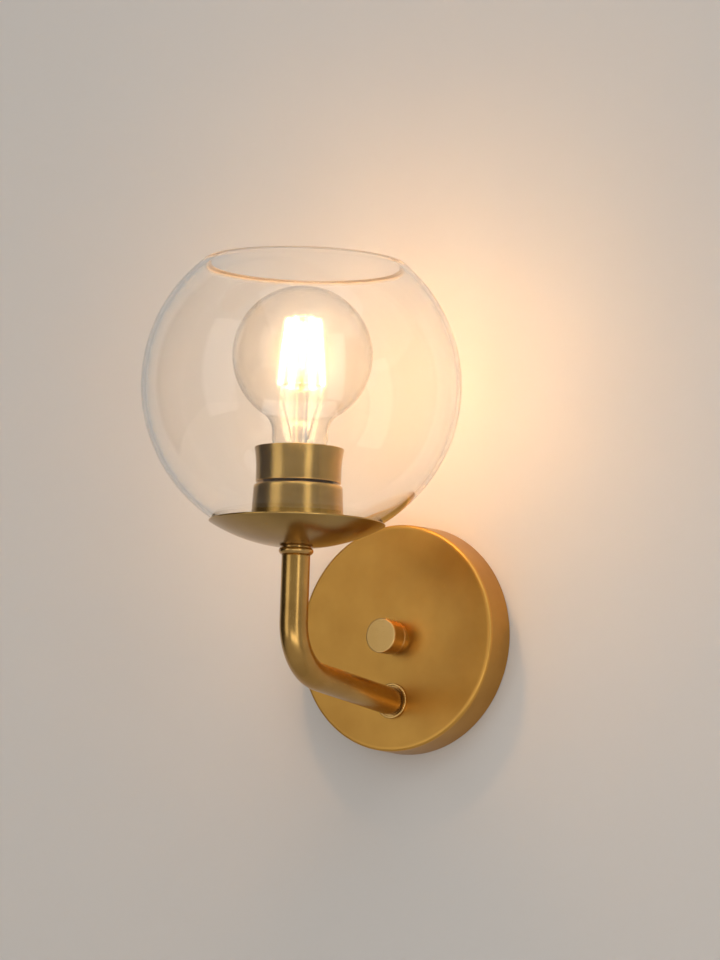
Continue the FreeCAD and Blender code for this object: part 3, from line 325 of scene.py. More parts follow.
# %% Path of the arm
def bent_path(corners, radii, step=1.2):
    """Points along straight runs and tangent arcs in the plane x = 0, with their headings.
    An arc's point is centre + radius (cos t, sin t); t runs between the two headings."""
    points, headings = [], []
    here = np.array(corners[0], float)
    for i in range(1, len(corners)):
        corner = np.array(corners[i], float)
        ahead = (corner - here) / np.linalg.norm(corner - here)
        reach, turn = 0.0, 0.0
        if i < len(corners) - 1:
            after = np.array(corners[i + 1], float) - corner
            after /= np.linalg.norm(after)
            turn = math.atan2(ahead[0] * after[1] - ahead[1] * after[0], ahead @ after)
            reach = radii[i - 1] * math.tan(abs(turn) / 2)
        end = corner - ahead * reach
        share = np.linspace(0, 1, max(2, int(np.linalg.norm(end - here) / step)))[:, None]
        points.append(here + (end - here) * share)
        headings.append(np.tile(ahead, (len(share), 1)))
        here = end
        if turn:
            radius = radii[i - 1]
            normal = np.array([-ahead[1], ahead[0]]) * math.copysign(1, turn)
            t = np.linspace(0, turn, max(8, int(abs(turn) * radius / step)))[1:-1, None]
            sine, cosine = np.sin(np.abs(t)), np.cos(t)
            points.append(end + radius * (sine * ahead + (1 - cosine) * normal))
            headings.append(cosine * ahead + sine * normal)
            here = corner + after * reach
    return np.vstack(points), np.vstack(headings)


def tube_grid(points, headings, radius, columns=72):
    """Circle of the given radius round each path point: p + radius (cos a x + sin a n),
    where n is the heading turned a quarter towards the outside of the sheet."""
    a = np.arange(columns) * 2 * math.pi / columns
    radius = np.broadcast_to(np.asarray(radius, float), (len(points),))[:, None]
    x = radius * np.cos(a)
    side = radius * np.sin(a)
    y = points[:, :1] + side * headings[:, 1:2]
    z = points[:, 1:2] - side * headings[:, :1]
    return np.stack([x, y, z], -1)


FOOT_Z, ARM_TOP = -36.5, 37.2
TUBE_OUT, TUBE_IN = 8.0, 7.0
FOOT_BEND_R, ELBOW_R = 25.0, 29.0
ARM_SLOPE = math.radians(6)
RING_HEIGHT, RING_RECESS = 2.0, 1.2
TUBE_START = FRONT + RING_HEIGHT - RING_RECESS + 0.05
BEND_Y = -(TUBE_START + 5)
ELBOW_Z = FOOT_Z + (-UPRIGHT_Y + BEND_Y) * math.tan(ARM_SLOPE)
arm_points, arm_headings = bent_path(
    [(-TUBE_START, FOOT_Z), (BEND_Y, FOOT_Z), (UPRIGHT_Y, ELBOW_Z), (UPRIGHT_Y, ARM_TOP)],
    [FOOT_BEND_R, ELBOW_R],
)
print("arm path points", len(arm_points), "end", arm_points[-1])

# %% Tube, foot ring and bead
tube = surface("arm", np.concatenate([
    tube_grid(arm_points, arm_headings, TUBE_OUT),
    tube_grid(arm_points[::-1], arm_headings[::-1], TUBE_IN),
]), loop=True)
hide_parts("arm_tube")
NIPPLE_HOLE_R = 5.05
RING_R, RECESS_R = 10.2, 8.9
RECESS_FLOOR = FRONT + RING_HEIGHT - RING_RECESS
foot_ring = turned_piece("foot_ring", outline(
    (NIPPLE_HOLE_R, FRONT, 0.1), (RING_R, FRONT, 0.1), (RING_R, FRONT + RING_HEIGHT, 0.5),
    (RECESS_R, FRONT + RING_HEIGHT, 0.2), (RECESS_R, RECESS_FLOOR, 0.1),
    (NIPPLE_HOLE_R, RECESS_FLOOR, 0.1),
), 96, wall=True, z=FOOT_Z)
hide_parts("arm_foot_ring")

# The bead's side is a bow: radius = foot + (top - foot) t + 4 bow t (1 - t), t up its height.
BEAD_FOOT_R, BEAD_WIDENING, BEAD_BOW, BEAD_NECK_R = 8.5, 0.4, 1.05, 8.2
BEAD_SHOULDER = ARM_TOP + 3.6
BEAD_TOP = BEAD_SHOULDER + 0.7
t = np.linspace(0, 1, 17)
bow_r = BEAD_FOOT_R + BEAD_WIDENING * t + 4 * BEAD_BOW * t * (1 - t)
bow_z = ARM_TOP + (BEAD_SHOULDER - ARM_TOP) * t
bead = turned_piece("arm_bead", outline(
    (NIPPLE_HOLE_R, ARM_TOP, 0.1), *[(r, z, 0) for r, z in zip(bow_r, bow_z)],
    (BEAD_NECK_R, BEAD_SHOULDER, 0.05), (BEAD_NECK_R, BEAD_TOP, 0.05),
    (NIPPLE_HOLE_R, BEAD_TOP, 0.1),
), 96)
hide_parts("bead_collar")
turned_brass = brushed_brass("turned_brass", (0.60, 0.37, 0.12), (0.46, 0.26, 0.075), 0.25)
dress(["arm"], tube_brass)
dress(["foot_ring", "arm_bead"], turned_brass)

# %% [markdown]
# ## Dish
# The dish is spun from thin sheet over a round former, so both of its faces are part of
# a sphere. It is a little flatter than the globe, which meets it only near the middle,
# on a gasket, and leaves a fine gap at the rim. The rim is cut square to the sphere and
# just broken. The middle is flat, where it sits on the bead.

# %% Dish
DISH_OUT, DISH_IN = 96.0, 95.0
DISH_RIM_R, DISH_SEAT_R = 49.6, 9.6
DISH_Z = BEAD_TOP + math.sqrt(DISH_OUT ** 2 - DISH_SEAT_R ** 2)
DISH_FLOOR = BEAD_TOP + DISH_OUT - DISH_IN
floor_r = math.sqrt(DISH_IN ** 2 - (DISH_Z - DISH_FLOOR) ** 2)
under = sphere_run(DISH_OUT, DISH_Z, DISH_SEAT_R, DISH_RIM_R, 26)
over = sphere_run(DISH_IN, DISH_Z, DISH_RIM_R * DISH_IN / DISH_OUT, floor_r, 26)
under[-1] = (*under[-1][:2], 0.25)
over[0] = (*over[0][:2], 0.25)
dish = turned_piece("dish", outline(
    (NIPPLE_HOLE_R, BEAD_TOP, 0.1), *under, *over, (NIPPLE_HOLE_R, DISH_FLOOR, 0.1),
), 200)
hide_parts("glass_dish")
dress(["dish"], dish_brass)
GLOBE_OUT, GLOBE_IN = 90.0, 87.2
SEAT_GAP = 0.05           # between glass or brass and a gasket
GASKET_IN_R, GASKET_OUT_R = 23.5, 33.0
GASKET_SPACE = 0.6        # between the dish and the globe at the gasket's inner edge
GASKET_FOOT = DISH_Z - math.sqrt(DISH_IN ** 2 - GASKET_IN_R ** 2)
GLOBE_Z = GASKET_FOOT + GASKET_SPACE + math.sqrt(GLOBE_OUT ** 2 - GASKET_IN_R ** 2)
print("dish centre", round(DISH_Z, 3), "globe centre", round(GLOBE_Z, 3))

# %% [markdown]
# ## Cups
# Two brass cups cover the lampholder. The lower one screws down on a gasket and holds
# the globe; it is a slow cone with a rounded shoulder. The upper one flares to an open
# rim. Between them a narrow groove shows the brown lampholder. Each is hollow below or
# above a web that runs on the lampholder's outside thread.

# %% Lower cup
CUP_WALL, CUP_WEB, CUP_BORE_R = 1.2, 3.0, 19.46
LOWER_BASE_R, LOWER_TOP_R = 26.2, 24.9
TOP_GASKET_R = LOWER_BASE_R + 0.4
GASKET_TOP = GLOBE_Z - math.sqrt(GLOBE_IN ** 2 - TOP_GASKET_R ** 2) + 0.8
CUP_Z = GASKET_TOP + 0.15
CUP_TOP = CUP_Z + 25.9
lower_cup = turned_piece("lower_cup", outline(
    (LOWER_BASE_R - CUP_WALL, CUP_Z, 0.2), (LOWER_BASE_R, CUP_Z, 0.25), (LOWER_TOP_R, CUP_TOP, 1.5),
    (CUP_BORE_R, CUP_TOP, 0.15), (CUP_BORE_R, CUP_TOP - CUP_WEB, 0.1),
    (LOWER_TOP_R - CUP_WALL, CUP_TOP - CUP_WEB, 0.3),
), 200, body="retaining_cup")
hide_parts("glass_retaining_cup")

# %% Upper cup
UPPER_Z = CUP_TOP + 1.2
RIM_Z = UPPER_Z + 19.6
UPPER_BASE_R, FLARE, FLARE_HEIGHT = 23.95, 1.25, 13.0
share = np.linspace(0, 1, 16)
flare_r = UPPER_BASE_R + FLARE * share ** 2
flare_z = RIM_Z - FLARE_HEIGHT * (1 - share)
outside = [(r, z, 0) for r, z in zip(flare_r, flare_z)]
inside = [(r - CUP_WALL, z, 0) for r, z in zip(flare_r[::-1], flare_z[::-1])]
outside[-1] = (*outside[-1][:2], 0.3)
inside[0] = (*inside[0][:2], 0.3)
upper_cup = turned_piece("upper_cup", outline(
    (CUP_BORE_R, UPPER_Z, 0.1), (UPPER_BASE_R, UPPER_Z, 0.5), *outside, *inside,
    (UPPER_BASE_R - CUP_WALL, UPPER_Z + CUP_WEB, 0.3), (CUP_BORE_R, UPPER_Z + CUP_WEB, 0.1),
), 200, body="shroud_cup")
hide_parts("socket_shroud_cup")
dress(["lower_cup", "upper_cup"], cup_brass)
print("cups from", round(CUP_Z, 2), "to", round(RIM_Z, 2))

# %% [markdown]
# ## Lampholder
# A brown moulded body carries the screw shell. Most of it is inside the cups, but its
# rim shows from above and a band of it shows in the groove. Its moulding has a fine,
# even grain, which is a small noise in the bump and the roughness.

# %% Lampholder
WASHER_HEIGHT, NUT_HEIGHT = 1.0, 3.0
HOLDER_R, HOLDER_WALL, HOLDER_BASE = 19.4, 2.0, 3.0
HOLDER_Z = DISH_FLOOR + WASHER_HEIGHT + NUT_HEIGHT + SEAT_GAP
HOLDER_MID = HOLDER_Z + 10.8
HOLDER_TOP = RIM_Z - 3.4
HOLDER_FLOOR = HOLDER_TOP - 26
holder_cap = turned_piece("holder_cap", outline(
    (NIPPLE_HOLE_R, HOLDER_Z, 0.1), (HOLDER_R, HOLDER_Z, 0.4), (HOLDER_R, HOLDER_MID, 0.1),
    (HOLDER_R - HOLDER_WALL, HOLDER_MID, 0.1), (HOLDER_R - HOLDER_WALL, HOLDER_Z + HOLDER_BASE, 0.3),
    (NIPPLE_HOLE_R, HOLDER_Z + HOLDER_BASE, 0.1),
), 120)
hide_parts("socket_cap")


def moulded(name, colour, sheen_roughness, grain=2200):
    """Moulded plastic: one body colour with a fine even grain."""
    material, tree, shader = new_material(name)
    place = node(tree, "ShaderNodeTexCoord").outputs["Object"]
    fine = noise(tree, place, grain, 2.0).outputs[0]
    broad = noise(tree, place, 60, 2.0).outputs[0]
    lighter = tuple(min(1, c * 1.2 + 0.004) for c in colour)
    tree.links.new(blended(tree, broad, colour, lighter), shader.inputs["Base Color"])
    sheen = between(tree, fine, sheen_roughness - 0.08, sheen_roughness + 0.08)
    tree.links.new(sheen, shader.inputs["Roughness"])
    bump = node(tree, "ShaderNodeBump", [(fine, "Height")], Strength=0.15, Distance=0.0001)
    tree.links.new(bump.outputs[0], shader.inputs["Normal"])
    return material


phenolic = moulded("phenolic", (0.060, 0.030, 0.012), 0.45)
dress(["holder_cap", "socket_body"], phenolic)

# %% [markdown]
# ## Clear glass
# The globe is blown glass with a wall of nearly three millimetres and a ground mouth.
# Both faces are modelled, because real thickness gives the double outline of the ball
# and of the mouth. A Principled shader with full transmission bends the light. Its
# index is a little under that of real glass, which keeps the outlines pale, and the
# lamp's glass has some haze, which spreads the glare of the filaments into a halo. The
# edge marks frost and tan the ground mouth. For rays that come from a lamp a
# Transparent shader takes its place, so that the light passes as it does through real
# glass, without slow caustics. A broad, very shallow bump keeps the reflections from
# looking machine made.


# %% Glass materials
def clear_glass(name, tint, ior, waves, rough=0.0):
    """Clear glass that lets lamps through: faint waves, haze, and frost at the edge marks."""
    material, tree, shader = new_material(name)
    place = node(tree, "ShaderNodeTexCoord").outputs["Object"]
    haze = noise(tree, place, 14, 3.0).outputs[0]
    ground = node(tree, "ShaderNodeAttribute", attribute_name="edge").outputs["Fac"]
    frost = node(tree, "ShaderNodeMath", [(ground, 0)], operation="MULTIPLY")
    frost.inputs[1].default_value = 0.4
    clear = between(tree, haze, rough, rough + 0.012)
    rougher = node(tree, "ShaderNodeMath", [(clear, 0), (frost.outputs[0], 1)], operation="ADD")
    tree.links.new(rougher.outputs[0], shader.inputs["Roughness"])
    wave = noise(tree, place, 18, 1.0, (1, 1, 0.5)).outputs[0]
    bump = node(tree, "ShaderNodeBump", [(wave, "Height")], Strength=waves, Distance=0.001)
    tree.links.new(bump.outputs[0], shader.inputs["Normal"])
    tree.links.new(blended(tree, ground, tint, (0.46, 0.37, 0.28)), shader.inputs["Base Color"])
    tree.links.new(between(tree, ground, 1.0, 0.65), shader.inputs["Transmission Weight"])
    shader.inputs["IOR"].default_value = ior
    path = node(tree, "ShaderNodeLightPath").outputs["Is Shadow Ray"]
    passing = node(tree, "ShaderNodeBsdfTransparent", Color=(0.95, 0.95, 0.95, 1))
    mix = node(tree, "ShaderNodeMixShader", [(path, 0), (shader.outputs[0], 1), (passing.outputs[0], 2)])
    tree.links.new(mix.outputs[0], tree.nodes["Material Output"].inputs["Surface"])
    return material


globe_glass = clear_glass("globe_glass", (0.992, 0.998, 0.995), 1.36, 0.03)
lamp_glass = clear_glass("lamp_glass", (1.0, 0.99, 0.97), 1.42, 0.02, 0.13)

# %% Globe
MOUTH_RISE = 69.6         # of the ground mouth above the globe's centre
GROUND_DEPTH = 0.7
FOOT_HOLE_R = 21.0
mouth_t = math.acos(-MOUTH_RISE / GLOBE_OUT)
inner_mouth_t = math.acos(-MOUTH_RISE / GLOBE_IN)


def ball_side(radius, start_t, end_t, count):
    """Corner points up a ball's side: r = radius sin t, z = centre - radius cos t."""
    t = np.linspace(start_t, end_t, count)
    return [(radius * math.sin(a), GLOBE_Z - radius * math.cos(a), 0) for a in t]


outer_side = ball_side(GLOBE_OUT, math.asin(FOOT_HOLE_R / GLOBE_OUT), mouth_t, 72)
inner_side = ball_side(GLOBE_IN, inner_mouth_t, math.asin(FOOT_HOLE_R / GLOBE_IN), 72)
for side in (outer_side, inner_side):
    side[0] = (*side[0][:2], 0.6)
    side[-1] = (*side[-1][:2], 0.6)
globe_rows = outline(*outer_side, *inner_side)
globe_rows[:, 2] = globe_rows[:, 1] > GLOBE_Z + MOUTH_RISE - GROUND_DEPTH
globe = turned_piece("globe", globe_rows, 220)
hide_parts("glass_globe")
dress(["globe"], globe_glass)
print("mouth at", round(outer_side[-1][1], 1), "radius", round(outer_side[-1][0], 1))

# %% [markdown]
# ## Gaskets
# Thin silicone rings keep glass and brass apart. Their faces follow the globe and the
# dish, so they are short outlines of the same kind.

# %% Gaskets
lower_gasket = turned_piece("foot_gasket", outline(
    *sphere_run(DISH_IN - SEAT_GAP, DISH_Z, GASKET_IN_R, GASKET_OUT_R, 6),
    *sphere_run(GLOBE_OUT + SEAT_GAP, GLOBE_Z, GASKET_OUT_R, GASKET_IN_R, 6),
), 96)
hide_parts("lower_gasket")
TOP_GASKET_IN_R = FOOT_HOLE_R + 0.7
upper_gasket = turned_piece("cup_gasket", outline(
    *sphere_run(GLOBE_IN - SEAT_GAP, GLOBE_Z, TOP_GASKET_IN_R, TOP_GASKET_R, 5),
    (TOP_GASKET_R, GASKET_TOP, 0.1), (TOP_GASKET_IN_R, GASKET_TOP, 0.1),
), 120)
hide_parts("upper_gasket")
silicone = moulded("silicone", (0.55, 0.54, 0.51), 0.55, 900)
dress(["foot_gasket", "cup_gasket"], silicone)

# %% [markdown]
# ## Lamp
# The lamp is a glass ball on a neck, as a glassblower makes it: one wall that runs from
# the screw cap up a short neck, through a hollow curve, into the ball. The screw cap is
# thin metal with a rolled thread; rolled from outside, its thread is a rounded wave.
# Here the wave climbs once per turn round the cap, as a true screw does.

# %% Lamp glass
LAMP_Z = HOLDER_FLOOR + 1.5 + 0.6 + 0.15    # spring, contact and gap under the lamp's end
LAMP_LENGTH = 119.2
CAP_TOP = LAMP_Z + 25.8
COLLAR_Z = CAP_TOP - 4
BALL_R = 39.5
BALL_Z = LAMP_Z + LAMP_LENGTH - BALL_R
NECK_R, NECK_STRAIGHT, HOLLOW_R = 15.7, 3.0, 12.0
LAMP_WALL = 0.9
CAP_R = 13.2


def lamp_side(offset):
    """Outline from the mouth to the pole: a shoulder arc, a straight neck, a hollow arc
    that touches the neck and the ball, then the ball; all moved inwards by offset."""
    ball, hollow, neck = BALL_R - offset, HOLLOW_R + offset, NECK_R - offset
    mouth = CAP_R - offset
    hollow_x = neck + hollow
    drop = math.sqrt((ball + hollow) ** 2 - hollow_x ** 2)
    shoulder_z = BALL_Z - drop - NECK_STRAIGHT
    rise, narrowing = shoulder_z - CAP_TOP, neck - mouth
    shoulder_r = (rise ** 2 + narrowing ** 2) / (2 * narrowing)
    t = np.linspace(math.asin(rise / shoulder_r), 0, 10)
    shoulder = np.column_stack([neck - shoulder_r * (1 - np.cos(t)), shoulder_z - shoulder_r * np.sin(t)])
    full = math.atan2(drop, hollow_x)
    t = np.linspace(0, full, 16)
    bend = np.column_stack([hollow_x - hollow * np.cos(t), BALL_Z - drop + hollow * np.sin(t)])
    t = np.linspace(-full, math.pi / 2, 64)[1:]
    dome = np.column_stack([ball * np.cos(t), BALL_Z + ball * np.sin(t)])
    return np.vstack([shoulder, bend, dome])


LIP_R, LIP_Z = 12.7, COLLAR_Z + SEAT_GAP
side_out, side_in = lamp_side(0), lamp_side(LAMP_WALL)
lip = np.array([[LIP_R - LAMP_WALL, LIP_Z], [LIP_R, LIP_Z], [LIP_R, CAP_TOP]])
wall = np.vstack([lip, side_out, side_in[::-1], [[LIP_R - LAMP_WALL, CAP_TOP]]])
lamp_ball = turned_piece("lamp_ball", np.column_stack([wall, np.zeros(len(wall))]), 160, body="lamp")
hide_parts("lamp_glass")
dress(["lamp_ball"], lamp_glass)

# %% Screw cap
THREAD_Z = LAMP_Z + 6.3
THREAD_R, THREAD_WAVE = 12.7, 0.4
PITCH, THREAD_TURNS = 3.6, 4
THREAD_END = THREAD_Z + PITCH * THREAD_TURNS
CAP_BASE_Z = LAMP_Z + 4.5
CAP_IN_R, COLLAR_IN_R, BASE_IN_R = 11.85, 12.75, 10.5


def threaded_cap():
    """Grid whose radius is R + wave sin(2 pi (z - start) / pitch - a): the wave climbs
    one pitch round the cap, and fades out at both ends of the thread."""
    a = np.arange(120) * 2 * math.pi / 120
    z = np.linspace(THREAD_Z, THREAD_END, 90)[:, None]
    fade = np.clip(np.minimum(z - THREAD_Z, THREAD_END - z) / 1.2, 0, 1)
    r = THREAD_R + THREAD_WAVE * fade * np.sin(2 * math.pi * (z - THREAD_Z) / PITCH - a)
    thread = np.stack([r * np.cos(a), UPRIGHT_Y + r * np.sin(a), z + 0 * a], -1)
    foot = turned(np.array([[BASE_IN_R, CAP_BASE_Z], [11.9, CAP_BASE_Z]]), 120)
    top = turned(np.array([
        [CAP_R, COLLAR_Z], [CAP_R, CAP_TOP - 0.1], [CAP_R - 0.1, CAP_TOP], [COLLAR_IN_R, CAP_TOP],
        [COLLAR_IN_R, COLLAR_Z], [CAP_IN_R, COLLAR_Z], [CAP_IN_R, THREAD_Z], [BASE_IN_R, THREAD_Z],
    ]), 120)
    return np.concatenate([foot, thread, top])


screw_cap = surface("screw_cap", threaded_cap(), loop=True, body="lamp")
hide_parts("lamp_screw_cap")


def plated(name, colour, roughness, grain=600):
    """Plated or bright metal with fine scratches in all directions."""
    material, tree, shader = new_material(name)
    place = node(tree, "ShaderNodeTexCoord").outputs["Object"]
    scratch = noise(tree, place, grain, 6.0, (1, 1, 3)).outputs[0]
    cloud = noise(tree, place, 80, 3.0).outputs[0]
    dull = tuple(c * 0.82 for c in colour)
    tree.links.new(blended(tree, cloud, dull, colour), shader.inputs["Base Color"])
    tree.links.new(between(tree, scratch, roughness - 0.1, roughness + 0.12), shader.inputs["Roughness"])
    bump = node(tree, "ShaderNodeBump", [(scratch, "Height")], Strength=0.08, Distance=0.0001)
    tree.links.new(bump.outputs[0], shader.inputs["Normal"])
    shader.inputs["Metallic"].default_value = 1.0
    return material


cap_nickel = plated("cap_nickel", (0.62, 0.60, 0.56), 0.26)
zinc = plated("zinc_steel", (0.58, 0.58, 0.57), 0.34)
raw_brass = plated("raw_brass", (0.70, 0.48, 0.18), 0.24)
solder = plated("solder", (0.45, 0.45, 0.45), 0.45)
green_plate = plated("green_steel", (0.05, 0.30, 0.09), 0.36)
dress(["screw_cap", "terminal_screws", "neutral_terminal"], cap_nickel)
dress(["crossbar", "canopy_stud", "stud_lock_nut", "arm_nipple", "arm_lock_washer"], zinc)
dress(["arm_lock_nut", "top_nipple", "dish_washer", "dish_lock_nut"], zinc)
dress(["arm_end_bushes", "socket_screw_shell", "socket_contact", "hot_terminal"], raw_brass)
dress(["lamp_contact"], solder)
dress(["ground_screw"], green_plate)

# %% [markdown]
# ## Inside the lamp
# A glass stem rises from the cap and carries a thin mast. Six straight filaments lean in
# from a wire ring to a small spider at the top, so they form a cage. Each filament is a
# slim rod with rounded ends, coated in phosphor and far too bright to look at. Two lead
# wires feed the ring, and they catch that light.


# %% Rods
def rod(start, end, radius, columns=20):
    """Grid of a rod from start to end: rings of radius r(s) along the line, with r a
    quarter circle at each end, so the ends are domes."""
    start, end = np.array(start, float), np.array(end, float)
    heading = (end - start) / np.linalg.norm(end - start)
    across = np.cross(heading, [0.0, 0.0, 1.0] if abs(heading[2]) < 0.9 else [1.0, 0.0, 0.0])
    across /= np.linalg.norm(across)
    third = np.cross(heading, across)
    t = np.linspace(0, math.pi / 2, 6)
    dome = radius * (1 - np.cos(t))
    s = np.concatenate([dome, np.linalg.norm(end - start) - dome[::-1]])
    r = np.concatenate([radius * np.sin(t), radius * np.sin(t[::-1])])
    a = np.arange(columns) * 2 * math.pi / columns
    ring = np.cos(a)[:, None] * across + np.sin(a)[:, None] * third
    return start + s[:, None, None] * heading + r[:, None, None] * ring


def joined(name, parts):
    """One object from several finished ones."""
    bpy.ops.object.select_all(action="DESELECT")
    for part in parts:
        part.select_set(True)
    bpy.context.view_layer.objects.active = parts[0]
    bpy.ops.object.join()
    parts[0].name = parts[0].data.name = name
    return parts[0]


CAGE_TURN = 34            # degrees round the upright
CAGE_FOOT_R, CAGE_FOOT = 12.0, 62.8
CAGE_TOP_R, CAGE_TOP = 8.5, 100.3
FILAMENTS = 6


def cage_point(radius, height, turn):
    """Point of the cage: (radius cos, radius sin) round the upright, at a height above
    the lamp's end contact."""
    angle = math.radians(CAGE_TURN + turn)
    return (radius * math.cos(angle), UPRIGHT_Y + radius * math.sin(angle), LAMP_Z + height)


# %% Filaments
filament_parts = []
for i in range(FILAMENTS):
    turn = i * 360 / FILAMENTS
    grid = rod(cage_point(CAGE_FOOT_R, CAGE_FOOT, turn), cage_point(CAGE_TOP_R, CAGE_TOP, turn), 1.1)
    filament_parts.append(surface(f"filament_{i}", grid, body="lamp"))
filaments = joined("filaments", filament_parts)
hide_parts("led_filaments")

# %% Leads, spider and stem
LEAD_R, SPOKE_R = 0.45, 0.35
a = np.linspace(0, 2 * math.pi, 24, endpoint=False)
WIRE_Z = LAMP_Z + CAGE_FOOT - LEAD_R - 0.15
wire_round = np.column_stack([CAGE_FOOT_R + LEAD_R * np.cos(a), WIRE_Z + LEAD_R * np.sin(a), 0 * a])
lead_parts = [turned_piece("lead_ring", wire_round, 72, body="lamp")]
for turn in (0, 180):
    grid = rod(cage_point(4.7, 33, turn), cage_point(CAGE_FOOT_R, 62.2, turn), LEAD_R, 16)
    lead_parts.append(surface(f"lead_{turn}", grid, body="lamp"))
leads = joined("leads", lead_parts)
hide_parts("filament_leads")

MAST_R, MAST_TOP = 1.3, LAMP_Z + 101.8
HUB_R, HUB_FOOT, HUB_TOP = 2.4, MAST_TOP + SEAT_GAP, MAST_TOP + SEAT_GAP + 1.4
hub = outline(
    (0, HUB_FOOT, 0), (HUB_R, HUB_FOOT, 0.2), (HUB_R, HUB_TOP, 0.4), (0, HUB_TOP, 0), closed=False,
)
spider_parts = [turned_piece("spider_hub", hub, 40, body="lamp", loop=False)]
for i in range(FILAMENTS):
    turn = i * 360 / FILAMENTS
    grid = rod(cage_point(1.2, 102.5, turn), cage_point(CAGE_TOP_R, 100.8, turn), SPOKE_R, 12)
    spider_parts.append(surface(f"spoke_{i}", grid, body="lamp"))
spider = joined("spider", spider_parts)
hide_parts("filament_anchor")

# The stem's foot flares in a quarter ellipse and its shoulder closes in a quarter circle.
STEM_FOOT_R, STEM_R = 11.75, 4.2
STEM_FOOT, STEM_SHOULDER = COLLAR_Z + SEAT_GAP, LAMP_Z + 57
shoulder_r = STEM_R - MAST_R
t = np.linspace(0, math.pi / 2, 12)
foot_r = STEM_FOOT_R - (STEM_FOOT_R - STEM_R) * np.sin(t)
foot_z = STEM_FOOT + 0.9 + 7.1 * (1 - np.cos(t))
neck_r, neck_z = MAST_R + shoulder_r * np.cos(t), STEM_SHOULDER + shoulder_r * np.sin(t)
flare = [(r, z, 0) for r, z in zip(foot_r, foot_z)]
neck = [(r, z, 0) for r, z in zip(neck_r, neck_z)]
stem = turned_piece("glass_stem", outline(
    (0, STEM_FOOT, 0), (STEM_FOOT_R, STEM_FOOT, 0.2), *flare[1:], *neck,
    (MAST_R, MAST_TOP, 0.2), (0, MAST_TOP, 0), closed=False,
), 60, body="lamp", loop=False)
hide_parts("lamp_stem")
dress(["glass_stem"], lamp_glass)
dress(["leads", "spider"], cap_nickel)


# %% [markdown]
# ## Light of the filaments
# The phosphor glows. Its strength is high enough to clip to white, and the colour is
# that of a warm lamp. A small noise makes the coat a little uneven. The filaments are
# thin, so a small round lamp stands in the cage and does most of the lighting, which
# keeps the picture clean.

# %% Glow
material, tree, shader = new_material("phosphor")
place = node(tree, "ShaderNodeTexCoord").outputs["Object"]
grains = noise(tree, place, 900, 3.0).outputs[0]
tree.links.new(blended(tree, grains, (0.95, 0.62, 0.16), (1.0, 0.80, 0.36)), shader.inputs["Base Color"])
tree.links.new(blended(tree, grains, (1.0, 0.74, 0.42), (1.0, 0.84, 0.58)), shader.inputs["Emission Color"])
shader.inputs["Emission Strength"].default_value = 50.0
shader.inputs["Roughness"].default_value = 0.6
dress(["filaments"], material)
glow = bpy.data.lights.new("cage_glow", "POINT")
glow.energy = 0.66
glow.color = (1.0, 0.475, 0.125)
glow.shadow_soft_size = 0.012
glow_object = bpy.data.objects.new("cage_glow", glow)
glow_object.location = (0, UPRIGHT_Y * MM, (LAMP_Z + 82) * MM)
glow_object.visible_camera = False
glow_object.visible_transmission = False
bpy.context.collection.objects.link(glow_object)

# %% [markdown]
# ## Wiring behind the backplate
# From behind one sees the crossbar, its screws and the wiring. The wires keep their
# solid's shape and get a smooth, slightly waxy insulation. Each twist-on connector is a
# small cone with grip ribs, so its radius is a cone plus a wave round it.


# %% Wires and connectors
def insulation(name, colour):
    """Wire insulation: smooth, with a slight waxy unevenness."""
    material, tree, shader = new_material(name)
    place = node(tree, "ShaderNodeTexCoord").outputs["Object"]
    wax = noise(tree, place, 220, 2.0).outputs[0]
    paler = tuple(min(1, c * 1.15 + 0.01) for c in colour)
    tree.links.new(blended(tree, wax, colour, paler), shader.inputs["Base Color"])
    tree.links.new(between(tree, wax, 0.3, 0.42), shader.inputs["Roughness"])
    return material


dress(["hot_wire"], insulation("black_wire", (0.015, 0.015, 0.016)))
dress(["neutral_wire"], insulation("white_wire", (0.72, 0.71, 0.67)))
dress(["ground_wire"], insulation("green_wire", (0.02, 0.26, 0.06)))


CONNECTOR_RIBS = 14
CONNECTOR_LENGTH = 22.0


def connector_grid(place):
    """Cone that narrows by 2.2 mm in radius, with ribs: r = cone - 0.35 fade (1 - cos
    ribs a) / 2, fading to a plain band at the mouth; then the closed end and the bore."""
    a = np.arange(12 * CONNECTOR_RIBS) * 2 * math.pi / (12 * CONNECTOR_RIBS)
    h = np.linspace(0.3, CONNECTOR_LENGTH - 0.6, 24)[:, None]
    cone = 6.5 - 2.2 * h / (CONNECTOR_LENGTH - 0.6)
    fade = np.clip((h - 4) / 2, 0, 1) * np.clip((CONNECTOR_LENGTH - 1 - h) / 2, 0, 1)
    r = cone - 0.35 * fade * (1 - np.cos(CONNECTOR_RIBS * a)) / 2
    outside = np.stack([r * np.cos(a), r * np.sin(a), h + 0 * a], -1)
    mouth = [(4.6, 0), (6.3, 0)]
    end = [(3.7, CONNECTOR_LENGTH), (0, CONNECTOR_LENGTH)]
    bore = [(0, 15), (1.15, 15)]

    def rings(points):
        return [np.stack([p[0] * np.cos(a), p[0] * np.sin(a), p[1] + 0 * a], -1)[None] for p in points]

    grid = np.concatenate([*rings(mouth), outside, *rings(end), *rings(bore)])
    turn = np.array(place)[:3, :3]
    return grid @ turn.T + np.array(place)[:3, 3]


